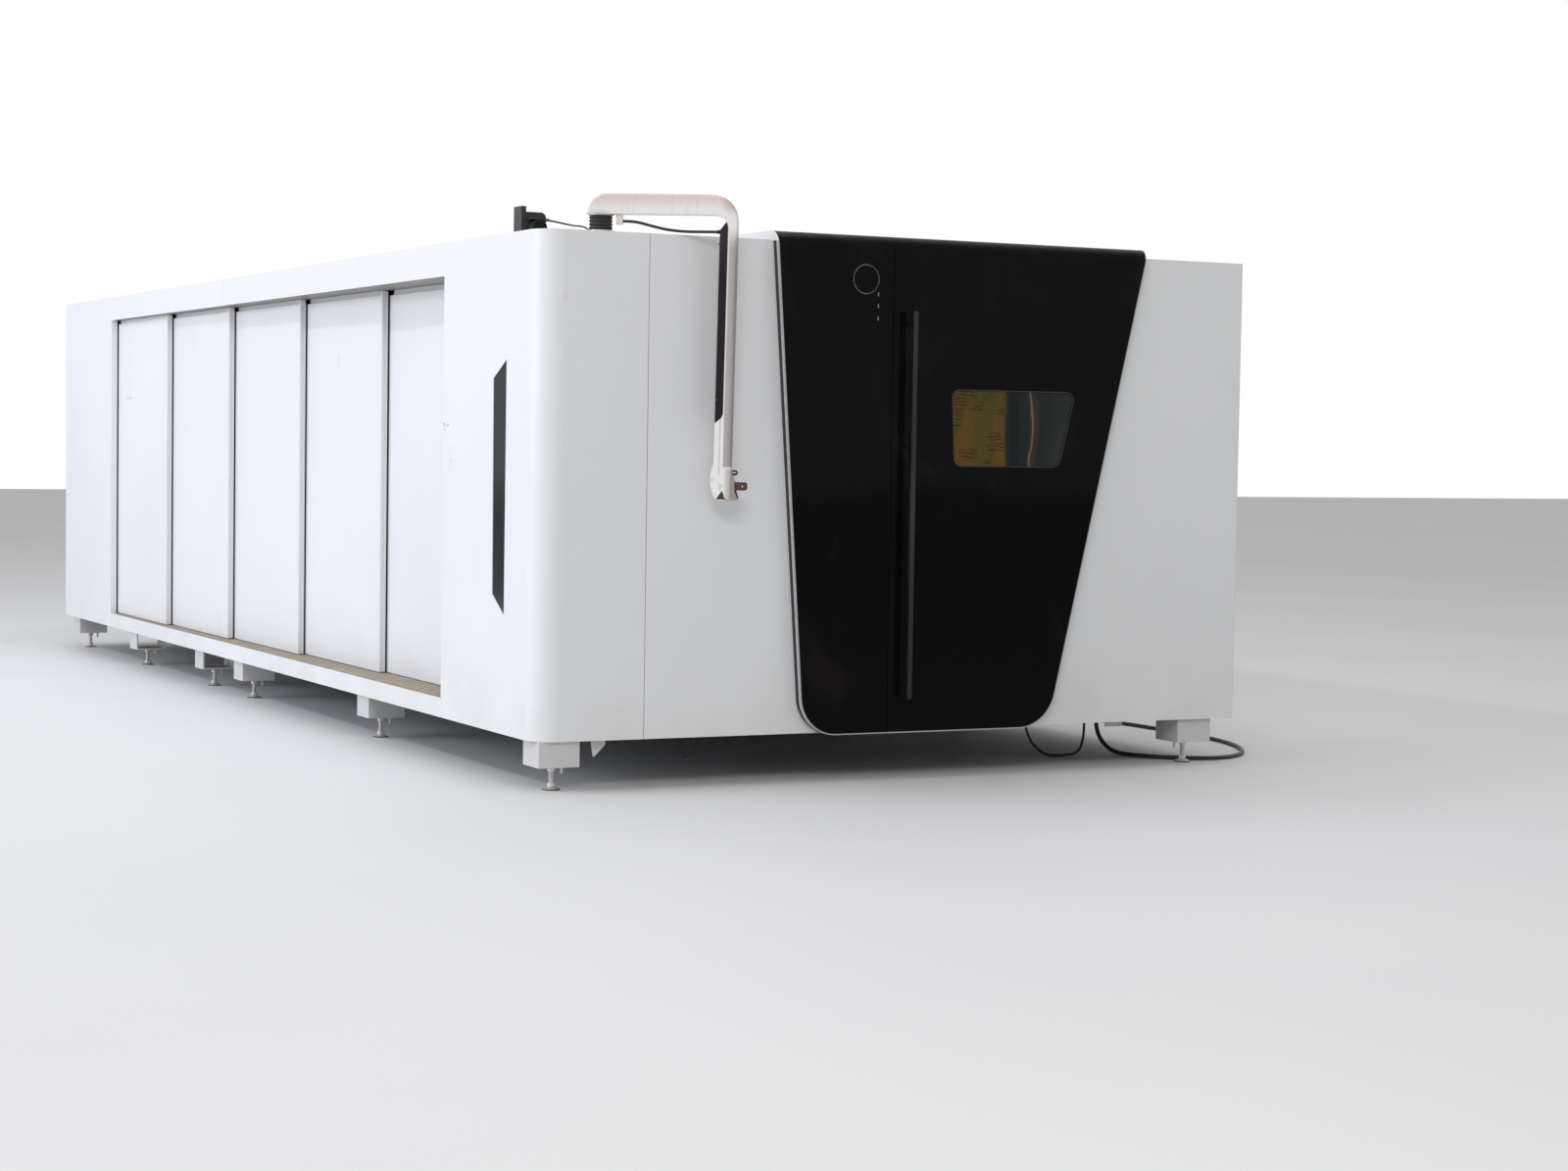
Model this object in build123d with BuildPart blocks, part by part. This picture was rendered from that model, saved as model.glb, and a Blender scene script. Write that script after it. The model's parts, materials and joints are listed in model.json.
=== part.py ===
"""Enclosed gantry laser cutting machine for sheet metal, in millimetres.

+X runs to the machine's right along its short front side, +Y towards its rear, +Z up.
The origin is the centre of the front-left levelling foot's pad, on the floor.
"""

import os
from math import cos, hypot, pi, radians, sin, tan

from build123d import *

os.makedirs("parts", exist_ok=True)

# Casing
casing_width = 3470
casing_length = 8580
casing_top = 2300
ground_clearance = 209
sheet = 3
corner_radius = 110
small_corner_radius = 15
return_flange = 20

# Levelling feet, measured from the casing's left and front faces
foot_inset = 120
foot_setback = 110
right_foot_inset = 204
front_module_stations = [0, 2180, 4340]
rear_module_start = 5150
rear_foot_margin = 230
block_width = 180
block_length = 175
block_height = 109
block_wall = 8
stud_radius = 10
stud_clearance = 0.5
pad_radius = 36
pad_height = 14
nut_across = 30
lock_nut_height = 15
flange_nut_height = 22
flange_radius = 25
jack_offset = 46
jack_radius = 6
jack_length = 34

# Corner cover and its slot window
cover_front_width = 487
cover_side_length = 1120
seam_gap = 3
slot_outline = [(506, 1699), (355, 1777), (358, 709), (497, 791)]
slot_lap = 14
slot_glass = 5

# Left side recess with the telescoping panels
rear_panel_length = 1305
recess_bottom = 295
recess_top = 2155
beam_seam = 4683
panel_count = 5
first_lane = 45
lane_pitch = 40
panel_thickness = 30
panel_overlap = 30
front_lap = 20
leading_panel_extra = 130
panel_skin = 2
panel_bottom_gap = 5
panel_top_gap = 25
edge_groove_width = 8
edge_groove_depth = 4
tongue = 3
tongue_groove = 6
bottom_groove_depth = 10.3
top_groove_depth = 22.5
top_tongue = 45
slide_gap = 0.3
track_width = 240
top_track_height = 42
track_web = 15
track_side = 5
track_end_lap = 35

# Black front fascia: height, slanted sides and the seam between the fixed leaf and the door
fascia_proud = 60
fascia_gap = 6
fascia_bottom = 203
fascia_top = 2338
fascia_roll = 65
hood_length = 340
hood_clearance = 4
fascia_left_top = 1044
fascia_left_slope = 0.0722
fascia_right_top = 2906
fascia_right_slope = 0.2266
fascia_left_radius = 170
fascia_right_radius = 190
leaf_seam = 1605
leaf_skin = 4
trim_width = 5
rib_width = 40

# Door, its window, handle, runners and travel
door_travel = 560
portal_left = 1580
portal_member = 60
portal_margin = 50
doorway_bottom = 330
doorway_top = 2100
window_bottom = 1357
window_top = 1688
window_left = 1900
window_right_top = 2530
window_left_slope = 0.051
window_right_slope = 0.233
window_radius = 34
window_low_right_radius = 52
window_lap = 15
window_glass = 5
handle_x = 1680
handle_bottom = 355
handle_top = 2018
handle_width = 22
handle_depth = 18
handle_reach = 45
standoff_radius = 7
standoff_heights = [410, 900, 1440, 1963]
light_x = 1529
light_heights = [1983, 2036, 2086]
light_width = 5
light_height = 16
light_proud = 1.5
rail_setback = 200
rail_width = 15
rail_height = 15
rail_end_margin = 70
runner_width = 34
runner_length = 110
runner_stations = [115, 1035]
guide_bar_height = 20
guide_bar_depth = 20
guide_bar_bottom = 240
shoe_length = 60
shoe_wall = 4

# Enclosure frame tubes
tube = 60
tube_height = 100
tube_wall = 4
base_height = 40
base_width = 240
top_width = 180

# Bed, table, rails and gantry
cross_beam_height = 150
cross_beam_length = 200
extra_beam_margin = 1030
bed_inset = 450
bed_beam_width = 250
bed_top = 900
bed_front = 350
rear_compartment = 1330
bed_wall = 12
ledge_width = 60
ledge_top = 640
ledge_height = 20
table_gap = 10
table_member = 80
table_front = 800
table_rear_margin = 250
slat_pitch = 100
slat_height = 100
slat_thickness = 3
slat_tooth = 20
tray_wall = 3
tray_height = 240
linear_rail_width = 34
linear_rail_height = 30
magnet_width = 70
magnet_height = 12
magnet_offset = 75
truck_length = 420
truck_width = 200
truck_height = 40
runner_block_height = 57
runner_block_width = 100
gantry_park_margin = 350
gantry_depth = 220
gantry_height = 300
gantry_wall = 8
cross_rail_size = 20
cross_rail_inset = 50
carriage_width = 260
carriage_plate = 25
carriage_park = 1735
z_slide_width = 130
z_slide_depth = 50
z_slide_height = 520
z_rail_size = 15
head_radius = 42
head_length = 460
head_cap = 30
head_shoulder = 90
head_neck = (26, 60)
nozzle_cone = (16, 45)
nozzle_tip_radius = 4
nozzle_height = 985
head_mount = (200, 420)
slide_lift = 190

# Rear compartment
cabinet_wall = 3
cabinet_height = 1600
cabinet_depth = 900
cabinet_clearance = 250
cabinet_left = 300
cabinet_width = 1150
source_left = 1750
source_width = 1100
source_height = 1250

# Swing arm for the console, in its own upright plane
post_inset = 330
post_setback = 150
arm_angle = -30
arm_width = 60
arm_clearance = 80
arm_height = 85
arm_elbow_radius = 118
arm_elbow_inside = 60
arm_heel = 62
arm_heel_mid = (34, 56)
arm_crown_start = 12
arm_edge_radius = 10
arm_reach = 571
arm_lean = 0.8
arm_shell_depth = 40
arm_cover_depth = 35
arm_cover_edge = 24
shell_drop = 1037
cover_drop = 857
cover_top_gap = 2
cover_mitre = 44
cover_lap = (8, 22, 40)
tip_drop = 1174
tip_flat = 14
tip_toe = [(26, 8), (22, 0)]
tip_back = [(12, 0), (-4, 24), (-14, 68), (-12, 110), (0, 152)]
post_radius = 22
post_flange_radius = 62
post_flange_height = 8
running_fit = 0.05
socket_depth = 60
boot_radius = 50
boot_pleat = 6
boot_pleats = 5
lug_thickness = 6
lug_gap = 40
lug_reach = 50
lug_height = 34
lug_corner = 10
lug_hole = 5
lug_hole_inset = 19
lug_rise = 58
arm_boss_u = 92
arm_boss_width = 28
arm_boss_height = 42
arm_gland_radius = 8
arm_gland_length = 12
arm_gland_drop = 68

# Roof camera
camera_x = 218
camera_y = 750
camera_plate_height = 145
camera_plate = 22
camera_length = 92
camera_height = 121
camera_depth = 90
camera_hood_radius = 25

# Cords: diameters, and points chosen by hand along each route, from the casing's left and front
# faces; the arm's own cord is measured from the post, outwards and upwards
supply_diameter = 20
hose_diameter = 12
camera_cord_diameter = 8
arm_cord_diameter = 12
gland_length = 25
gland_shift = 50
supply_gland_x = 3080
hose_glands = [2690, 3016]
roof_gland_length = 18
coil_x = 3790
coil_y = 2520
coil_mean_radius = 118
coil_height = 60
coil_width = 84
plug_radius = 34
plug_length = 160
plug_relief = 40
plug_collar = 55
plug_grip = 110
plug_socket_depth = 45
plug_wall = 5
plug_step = 4
supply_route = [
    (3080, 560, 184),
    (3080, 560, 124),
    (3092, 522, 52),
    (3122, 452, 10),
    (3160, 340, 10),
    (3235, 215, 10),
    (3370, 125, 10),
    (3535, 115, 10),
    (3700, 235, 10),
    (3835, 430, 10),
    (3925, 670, 10),
    (3968, 940, 10),
    (3978, 1225, 10),
    (3966, 1515, 10),
    (3945, 1790, 10),
    (3922, 2040, 10),
    (3910, 2220, 10),
    (3915, 2360, 10),
    (3938, 2492, 10),
]
hose_route = [
    (2690, 560, 184),
    (2690, 560, 136),
    (2700, 545, 88),
    (2722, 522, 42),
    (2768, 494, 6),
    (2838, 476, 6),
    (2908, 484, 7),
    (2962, 510, 26),
    (2997, 538, 70),
    (3016, 560, 126),
    (3016, 560, 184),
]
camera_route = [
    (310, 754, 2392),
    (334, 754, 2392),
    (362, 749, 2389),
    (386, 724, 2382),
    (397, 680, 2373.5),
    (396, 624, 2366),
    (387, 564, 2360),
    (373, 504, 2354.5),
    (361, 444, 2350),
    (351, 384, 2343),
    (346, 334, 2333),
    (346, 298, 2318),
    (351, 264, 2304),
    (358, 230, 2304),
]
arm_cord_route = [
    (430, 2312),
    (350, 2311.5),
    (272, 2319),
    (202, 2336),
    (142, 2352),
    (92, 2352),
]
tail_route = [
    (3778, 2669, 10),
    (3728, 2673, 17),
    (3670, 2675, 34),
    (3622, 2675, 34),
]

left = -foot_inset
right = left + casing_width
front = -foot_setback
rear = front + casing_length
recess_rear = casing_length - rear_panel_length
bed_rear = casing_length - rear_compartment
table_rear = bed_rear - table_rear_margin
gantry_park = bed_rear - gantry_park_margin
cabinet_front = bed_rear + cabinet_clearance
extra_beam_station = rear - extra_beam_margin
last_station = rear - rear_foot_margin
open_stations = [rear_module_start, (rear_module_start + last_station) / 2]
foot_stations = [*front_module_stations, *open_stations, last_station]
lane_width = recess_rear - cover_side_length
panel_pitch = (lane_width - leading_panel_extra) / panel_count
panel_length = panel_pitch + panel_overlap
mirror_x = (left + right) / 2
right_foot_x = right - right_foot_inset


def save(shape, name):
    """Name a finished piece and write it."""
    shape.label = name
    export_step(shape, f"parts/{name}.step")


def block(x, y, z, mode=Mode.ADD):
    """A box between three pairs of limits, in the part being built."""
    centre = ((x[0] + x[1]) / 2, (y[0] + y[1]) / 2, (z[0] + z[1]) / 2)
    with Locations(centre):
        Box(x[1] - x[0], y[1] - y[0], z[1] - z[0], mode=mode)


def beam(x, y, z, along, wall=tube_wall):
    """One hollow rectangular tube with open ends, running along X, Y or Z."""
    with BuildPart() as piece:
        block(x, y, z)
        inner = [x, y, z]
        for index, axis in enumerate("XYZ"):
            low, high = inner[index]
            grow = 1 if axis == along else -wall
            inner[index] = (low - grow, high + grow)
        block(*inner, mode=Mode.SUBTRACT)
    return piece.part


def plate(x, y, z):
    """One plain plate between three pairs of limits."""
    with BuildPart() as piece:
        block(x, y, z)
    return piece.part


def mirrored(shapes, middle=mirror_x):
    """The shapes with their copies across an upright plane, by default the machine's middle."""
    plane = Plane.YZ.offset(middle)
    return list(shapes) + [mirror(shape, about=plane, mode=Mode.PRIVATE) for shape in shapes]


def group(shapes, name):
    """Like pieces written together as separate solids."""
    solids = [solid for shape in shapes for solid in shape.solids()]
    save(Compound(children=solids), name)


# Corner cover: one sheet bent round the front-left corner, with returns between the frame tubes
full_height = (ground_clearance, casing_top)
front_return = (front, front + sheet + return_flange)
front_return_height = (ground_clearance + base_height, casing_top - sheet - tube_height)
recess_height = (recess_bottom, recess_top)
cover_end_x = left + cover_front_width - seam_gap / 2
cover_end_y = front + cover_side_length
with BuildPart() as corner_cover:
    with BuildSketch(Plane.XY.offset(ground_clearance)):
        with BuildLine():
            FilletPolyline(
                (left, cover_end_y),
                (left, front),
                (cover_end_x, front),
                (cover_end_x, front + sheet),
                (left + sheet, front + sheet),
                (left + sheet, cover_end_y),
                radius=[0, corner_radius, 0, 0, corner_radius - sheet, 0],
                close=True,
            )
        make_face()
    extrude(amount=casing_top - ground_clearance)
    block((cover_end_x - sheet, cover_end_x), front_return, front_return_height)
    block((left, left + sheet + return_flange), (cover_end_y - sheet, cover_end_y), recess_height)
    with BuildSketch(Plane.YZ.offset(left)):
        with BuildLine():
            Polyline(*[(front + y, z) for y, z in slot_outline], close=True)
        make_face()
    extrude(amount=sheet, mode=Mode.SUBTRACT)
save(corner_cover.part, "corner_cover")

with BuildPart() as slot_window:
    with BuildSketch(Plane.YZ.offset(left + sheet)):
        with BuildLine():
            Polyline(*[(front + y, z) for y, z in slot_outline], close=True)
        make_face()
        offset(amount=slot_lap, kind=Kind.INTERSECTION)
    extrude(amount=slot_glass)
save(slot_window.part, "slot_window")


# Front wall behind the fascia
def slanted_x(height, inset=0):
    """X of the fascia's slanted right side at a height, moved in by an inset."""
    return left + fascia_right_top - fascia_right_slope * (fascia_top - height) - inset


with BuildPart() as front_left_panel:
    panel_start = left + cover_front_width + seam_gap / 2
    block((panel_start, left + portal_left), (front, front + sheet), full_height)
    block((panel_start, panel_start + sheet), front_return, front_return_height)
save(front_left_panel.part, "front_left_panel")

flange_low, flange_high = front_return_height
with BuildPart() as door_portal:
    with BuildSketch(Plane.XZ.offset(-front)):
        with BuildLine():
            Polyline(
                (left + portal_left, ground_clearance),
                (slanted_x(ground_clearance, portal_margin), ground_clearance),
                (slanted_x(casing_top, portal_margin), casing_top),
                (left + portal_left, casing_top),
                close=True,
            )
        make_face()
    extrude(amount=-tube)
    with BuildSketch(Plane.XZ.offset(-front - sheet)):
        with BuildLine():
            Polyline(
                (left + portal_left + sheet, flange_low),
                (slanted_x(flange_low, portal_margin + sheet), flange_low),
                (slanted_x(flange_high, portal_margin + sheet), flange_high),
                (left + portal_left + sheet, flange_high),
                close=True,
            )
        make_face()
    extrude(amount=-tube, mode=Mode.SUBTRACT)
    block(
        (left + portal_left, right),
        (front + sheet, front + tube + sheet),
        (flange_high, casing_top),
        mode=Mode.SUBTRACT,
    )
    block(
        (left + portal_left, right),
        (front + sheet, front + tube + sheet),
        (ground_clearance, flange_low),
        mode=Mode.SUBTRACT,
    )
    doorway = [
        (left + portal_left + portal_member, doorway_bottom),
        (slanted_x(doorway_bottom, portal_margin + portal_member), doorway_bottom),
        (slanted_x(doorway_top, portal_margin + portal_member), doorway_top),
        (left + portal_left + portal_member, doorway_top),
    ]
    with BuildSketch(Plane.XZ.offset(-front - sheet)):
        with BuildLine():
            Polyline(*doorway, close=True)
        make_face()
        offset(amount=sheet, kind=Kind.INTERSECTION)
    extrude(amount=-(tube - sheet))
    with BuildSketch(Plane.XZ.offset(-front)):
        with BuildLine():
            Polyline(*doorway, close=True)
        make_face()
    extrude(amount=-tube, mode=Mode.SUBTRACT)
save(door_portal.part, "door_portal")

wall_left = slanted_x(ground_clearance, portal_margin)
with BuildPart() as front_right_panel:
    with BuildSketch(Plane.XY.offset(ground_clearance)):
        with BuildLine():
            FilletPolyline(
                (wall_left, front),
                (right, front),
                (right, front + tube),
                (right - sheet, front + tube),
                (right - sheet, front + sheet),
                (wall_left, front + sheet),
                radius=[0, small_corner_radius, 0, 0, small_corner_radius - sheet, 0],
                close=True,
            )
        make_face()
    extrude(amount=casing_top - ground_clearance)
    with BuildSketch(Plane.XZ.offset(-front + sheet)):
        with BuildLine():
            Polyline(
                (wall_left, ground_clearance),
                (slanted_x(casing_top, portal_margin), casing_top),
                (wall_left, casing_top),
                close=True,
            )
        make_face()
    extrude(amount=-3 * sheet, mode=Mode.SUBTRACT)
save(front_right_panel.part, "front_right_panel")


# Left side: beams, rear end panel and sill rail
beam_bottom = (recess_top, casing_top)
with BuildPart() as side_front_beam:
    y_span = (front + cover_side_length, front + beam_seam - seam_gap / 2)
    block((left, left + sheet), y_span, beam_bottom)
save(side_front_beam.part, "side_front_beam")

recess_end = front + recess_rear
flange_x = left + first_lane - lane_pitch + panel_thickness
with BuildPart() as side_rear_panel:
    with BuildSketch(Plane.XY.offset(ground_clearance)):
        with BuildLine():
            FilletPolyline(
                (left, recess_end),
                (left, rear),
                (left + tube, rear),
                (left + tube, rear - sheet),
                (left + sheet, rear - sheet),
                (left + sheet, recess_end),
                radius=[0, small_corner_radius, 0, 0, small_corner_radius - sheet, 0],
                close=True,
            )
        make_face()
    extrude(amount=casing_top - ground_clearance)
    block((left, flange_x), (recess_end, recess_end + sheet), recess_height)
    block((left, left + sheet), (front + beam_seam + seam_gap / 2, recess_end), beam_bottom)
save(side_rear_panel.part, "side_rear_panel")

with BuildPart() as side_sill_rail:
    block(
        (left, left + sheet),
        (front + cover_side_length, front + recess_rear),
        (ground_clearance, recess_bottom),
    )
save(side_sill_rail.part, "side_sill_rail")

# Tracks with one groove for each panel's tongue
lanes = [left + first_lane + lane_pitch * lane for lane in range(panel_count)]
track_left = left + sheet
track_start = front + cover_side_length - track_end_lap
track_length = lane_width + 2 * track_end_lap
tongue_offset = (panel_thickness - tongue) / 2
base_top = ground_clearance + base_height


def track(bottom, height, depth, upside_down):
    """An aluminium track along the side, grooved for every lane on its inner face."""
    with BuildPart() as piece:
        with BuildSketch(Plane.XZ.offset(-track_start)):
            with Locations((track_left, bottom)):
                Rectangle(track_width, height, align=(Align.MIN, Align.MIN))
            web = track_web + (depth if upside_down else 0)
            hollow_bottom = bottom + web if upside_down else bottom
            with Locations((track_left + track_side, hollow_bottom)):
                Rectangle(
                    track_width - 2 * track_side,
                    height - web,
                    align=(Align.MIN, Align.MIN),
                    mode=Mode.SUBTRACT,
                )
            groove_edge = bottom if upside_down else bottom + height - depth
            for lane in lanes:
                with Locations((lane + tongue_offset + tongue / 2, groove_edge)):
                    Rectangle(tongue_groove, depth, align=(Align.CENTER, Align.MIN), mode=Mode.SUBTRACT)
        extrude(amount=-track_length)
    return piece.part


bottom_track = track(base_top, recess_bottom - base_top, bottom_groove_depth, upside_down=False)
top_track = track(recess_top, top_track_height, top_groove_depth, upside_down=True)
group([bottom_track, top_track], "side_tracks")

# Five telescoping panels, the first one fixed at the rear
panel_bottom = recess_bottom + panel_bottom_gap
panel_top = recess_top - panel_top_gap


def panel_front_edge(lane):
    """Y of a panel's near edge; the last panel is longer and hides behind the corner cover."""
    edge = front + recess_rear - panel_pitch * (lane + 1)
    return edge - leading_panel_extra - front_lap if lane == panel_count - 1 else edge


for lane, lane_x in enumerate(lanes):
    edge_y = panel_front_edge(lane)
    end_y = edge_y + panel_length
    if lane == panel_count - 1:
        end_y += leading_panel_extra
    with BuildPart() as side_panel:
        outside = (lane_x, lane_x + panel_thickness)
        block(outside, (edge_y, end_y), (panel_bottom, panel_top))
        block(
            (lane_x + panel_skin, lane_x + panel_thickness + panel_skin),
            (edge_y + 3 * panel_skin, end_y - panel_skin),
            (panel_bottom + panel_skin, panel_top - panel_skin),
            mode=Mode.SUBTRACT,
        )
        groove_x = lane_x + panel_thickness / 2
        block(
            (groove_x - edge_groove_width / 2, groove_x + edge_groove_width / 2),
            (edge_y, edge_y + edge_groove_depth),
            (panel_bottom, panel_top),
            mode=Mode.SUBTRACT,
        )
        tongue_x = (lane_x + tongue_offset, lane_x + tongue_offset + tongue)
        tongue_y = (edge_y + panel_overlap, end_y - panel_overlap)
        groove_floor = recess_bottom - bottom_groove_depth
        block(tongue_x, tongue_y, (groove_floor + slide_gap, panel_bottom + panel_skin))
        block(tongue_x, tongue_y, (panel_top - panel_skin, panel_top + top_tongue))
    save(side_panel.part, f"side_panel_{lane + 1}")

# Right side and rear
right_panels = []
right_start = front + tube
right_span = (rear - sheet - right_start) / 3
for index in range(3):
    gap_before = seam_gap if index else 0
    y_low = right_start + right_span * index + gap_before
    y_high = right_start + right_span * (index + 1)
    right_panels.append(plate((right - sheet, right), (y_low, y_high), full_height))
group(right_panels, "right_side_panels")

with BuildPart() as rear_panel:
    block((left + tube, right), (rear - sheet, rear), full_height)
save(rear_panel.part, "rear_panel")

# Roof in two sheets, the front one rounded with the corner cover
roof_z = (casing_top - sheet, casing_top)
inner_bend = small_corner_radius - sheet
with BuildPart() as roof_front_panel:
    block((left + sheet, right - sheet), (front + sheet, front + beam_seam - seam_gap / 2), roof_z)
    upright = roof_front_panel.edges().filter_by(Axis.Z)
    fillet(upright.sort_by_distance((left, front, casing_top))[0], corner_radius - sheet)
    upright = roof_front_panel.edges().filter_by(Axis.Z)
    fillet(upright.sort_by_distance((right, front, casing_top))[0], inner_bend)
save(roof_front_panel.part, "roof_front_panel")

with BuildPart() as roof_rear_panel:
    block((left + sheet, right - sheet), (front + beam_seam + seam_gap / 2, rear - sheet), roof_z)
    upright = roof_rear_panel.edges().filter_by(Axis.Z)
    fillet(upright.sort_by_distance((left, rear, casing_top))[0], inner_bend)
save(roof_rear_panel.part, "roof_rear_panel")

# Enclosure frame: open-ended tubes welded face to face, clear of the bends at the corners
inner_left = left + sheet
inner_right = right - sheet
inner_front = front + sheet
inner_rear = rear - sheet
notch = corner_radius
end_x = (inner_left + notch, inner_right - inner_bend)
rear_x = (inner_left + inner_bend, inner_right - inner_bend)
front_y = (inner_front, inner_front + notch)
rear_y = (inner_rear - tube, inner_rear)
side_y = (front_y[1], rear_y[0])
top_z = (casing_top - sheet - tube_height, casing_top - sheet)
base_z = (ground_clearance, base_top)
post_z = (base_top, top_z[0])
cross_x = (inner_left + top_width, inner_right - top_width)
frame_tubes = mirrored([beam((inner_left, inner_left + top_width), side_y, top_z, "Y")])
frame_tubes += mirrored([beam((inner_left, inner_left + base_width), side_y, base_z, "Y")])
for height in (top_z, base_z):
    frame_tubes.append(beam(end_x, front_y, height, "X"))
    frame_tubes.append(beam(rear_x, rear_y, height, "X"))
for station in foot_stations[1:-1]:
    frame_tubes.append(beam(cross_x, (station - tube / 2, station + tube / 2), top_z, "X"))
side_post_x = (inner_left, inner_left + tube)
track_end = track_start + track_length
recess_posts = [(track_start - tube, track_start), (track_end, track_end + tube)]
frame_tubes += mirrored([beam(side_post_x, span, post_z, "Z") for span in recess_posts])
frame_tubes += mirrored([beam((rear_x[0], rear_x[0] + tube), rear_y, post_z, "Z")])
for post_x in ((end_x[0], end_x[0] + tube), (end_x[1] - tube, end_x[1])):
    frame_tubes.append(beam(post_x, (inner_front, inner_front + tube), post_z, "Z"))
for station in foot_stations[1:-1]:
    span = (station - tube / 2, station + tube / 2)
    frame_tubes.append(beam((inner_right - tube, inner_right), span, post_z, "Z"))
group(frame_tubes, "enclosure_frame")

# Bed frame: cross beams between the base tubes carry two long box beams with table ledges
cross_top = ground_clearance + cross_beam_height
inner_cross_x = (inner_left + base_width, inner_right - base_width)
bed_tubes = []
for station in foot_stations[1:-1] + [extra_beam_station]:
    span = (station - cross_beam_length / 2, station + cross_beam_length / 2)
    bed_tubes.append(beam(inner_cross_x, span, (ground_clearance, cross_top), "X", bed_wall))
first_span = (front + bed_front + tube, front + bed_front + tube + cross_beam_length)
last_span = (inner_rear - tube - cross_beam_length, inner_rear - tube)
bed_tubes.append(beam(inner_cross_x, first_span, (ground_clearance, cross_top), "X", bed_wall))
bed_tubes.append(beam(inner_cross_x, last_span, (ground_clearance, cross_top), "X", bed_wall))
bed_x = (left + bed_inset, left + bed_inset + bed_beam_width)
bed_y = (front + bed_front, front + bed_rear)
bed_tubes += mirrored([beam(bed_x, bed_y, (cross_top, bed_top), "Y", bed_wall)])
ledge_x = (bed_x[1], bed_x[1] + ledge_width)
ledge_y = (front + table_front, front + table_rear)
bed_tubes += mirrored([plate(ledge_x, ledge_y, (ledge_top - ledge_height, ledge_top))])
group(bed_tubes, "bed_frame")

# Foot blocks under the base tubes, closed ones and open-ended ones
block_top = ground_clearance
block_bottom = ground_clearance - block_height


def foot_block(station, open_ended):
    """A welded block at one station of the left row, with the stud's hole in its floor."""
    with BuildPart() as piece:
        x_span = (-block_width / 2, block_width / 2)
        y_span = (station - block_length / 2, station + block_length / 2)
        block(x_span, y_span, (block_bottom, block_top))
        inner_x = (x_span[0] + block_wall, x_span[1] - block_wall)
        end_wall = -1 if open_ended else block_wall
        inner_y = (y_span[0] + end_wall, y_span[1] - end_wall)
        roof = block_top - block_wall if open_ended else block_top
        block(inner_x, inner_y, (block_bottom + block_wall, roof), mode=Mode.SUBTRACT)
        with Locations((0, station, block_bottom)):
            Cylinder(stud_radius + stud_clearance, 3 * block_wall, mode=Mode.SUBTRACT)
        with Locations((jack_offset, station, block_bottom)):
            Cylinder(jack_radius + stud_clearance, 3 * block_wall, mode=Mode.SUBTRACT)
    return piece.part


left_blocks = [foot_block(station, station in open_stations) for station in foot_stations]
group(mirrored(left_blocks, right_foot_x / 2), "foot_blocks")

# Levelling feet
with BuildPart() as pad:
    with BuildSketch(Plane.XY):
        Circle(pad_radius)
    extrude(amount=pad_height)
    chamfer(pad.edges().sort_by(Axis.Z)[-1], length=pad_height * 0.6, length2=pad_radius * 0.5)

stud_top = block_bottom + 2 * block_wall
with BuildPart() as stud:
    with BuildSketch(Plane.XY.offset(pad_height)):
        Circle(stud_radius)
    extrude(amount=stud_top - pad_height)

with BuildPart() as jack:
    with BuildSketch(Plane.XY.offset(block_bottom - jack_length)):
        Circle(jack_radius)
    extrude(amount=jack_length + block_wall)

with BuildPart() as lock_nut:
    with BuildSketch(Plane.XY.offset(pad_height + slide_gap)):
        RegularPolygon(nut_across / 2, 6, major_radius=False)
        Circle(stud_radius, mode=Mode.SUBTRACT)
    extrude(amount=lock_nut_height)

with BuildPart() as flange_nut:
    with BuildSketch(Plane.XY.offset(block_bottom - flange_nut_height)):
        RegularPolygon(nut_across / 2, 6, major_radius=False)
    extrude(amount=flange_nut_height)
    with BuildSketch(Plane.XY.offset(block_bottom - flange_nut_height / 3)):
        Circle(flange_radius)
    extrude(amount=flange_nut_height / 3)
    with Locations((0, 0, block_bottom - flange_nut_height / 2)):
        Cylinder(stud_radius, 2 * flange_nut_height, mode=Mode.SUBTRACT)

with BuildPart() as jack_nut:
    with BuildSketch(Plane.XY.offset(block_bottom - flange_nut_height / 3)):
        RegularPolygon(nut_across / 3, 6, major_radius=False)
        Circle(jack_radius, mode=Mode.SUBTRACT)
    extrude(amount=flange_nut_height / 3)


def at_feet(shape, offset_x=0):
    """Copies of a foot's piece at every station of both rows."""
    row = [Pos(offset_x, station, 0) * shape for station in foot_stations]
    return mirrored(row, right_foot_x / 2)


group(at_feet(pad.part), "foot_pads")
group(at_feet(stud.part) + at_feet(jack.part, jack_offset), "levelling_studs")
nuts = at_feet(lock_nut.part) + at_feet(flange_nut.part) + at_feet(jack_nut.part, jack_offset)
group(nuts, "levelling_nuts")


# Black fascia: one outline and one section, cut into the fixed leaf and the door
def left_edge_x(height, inset=0):
    """X of the fascia's left side at a height, moved in by an inset."""
    return left + fascia_left_top + fascia_left_slope * (fascia_top - height) + inset


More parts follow.
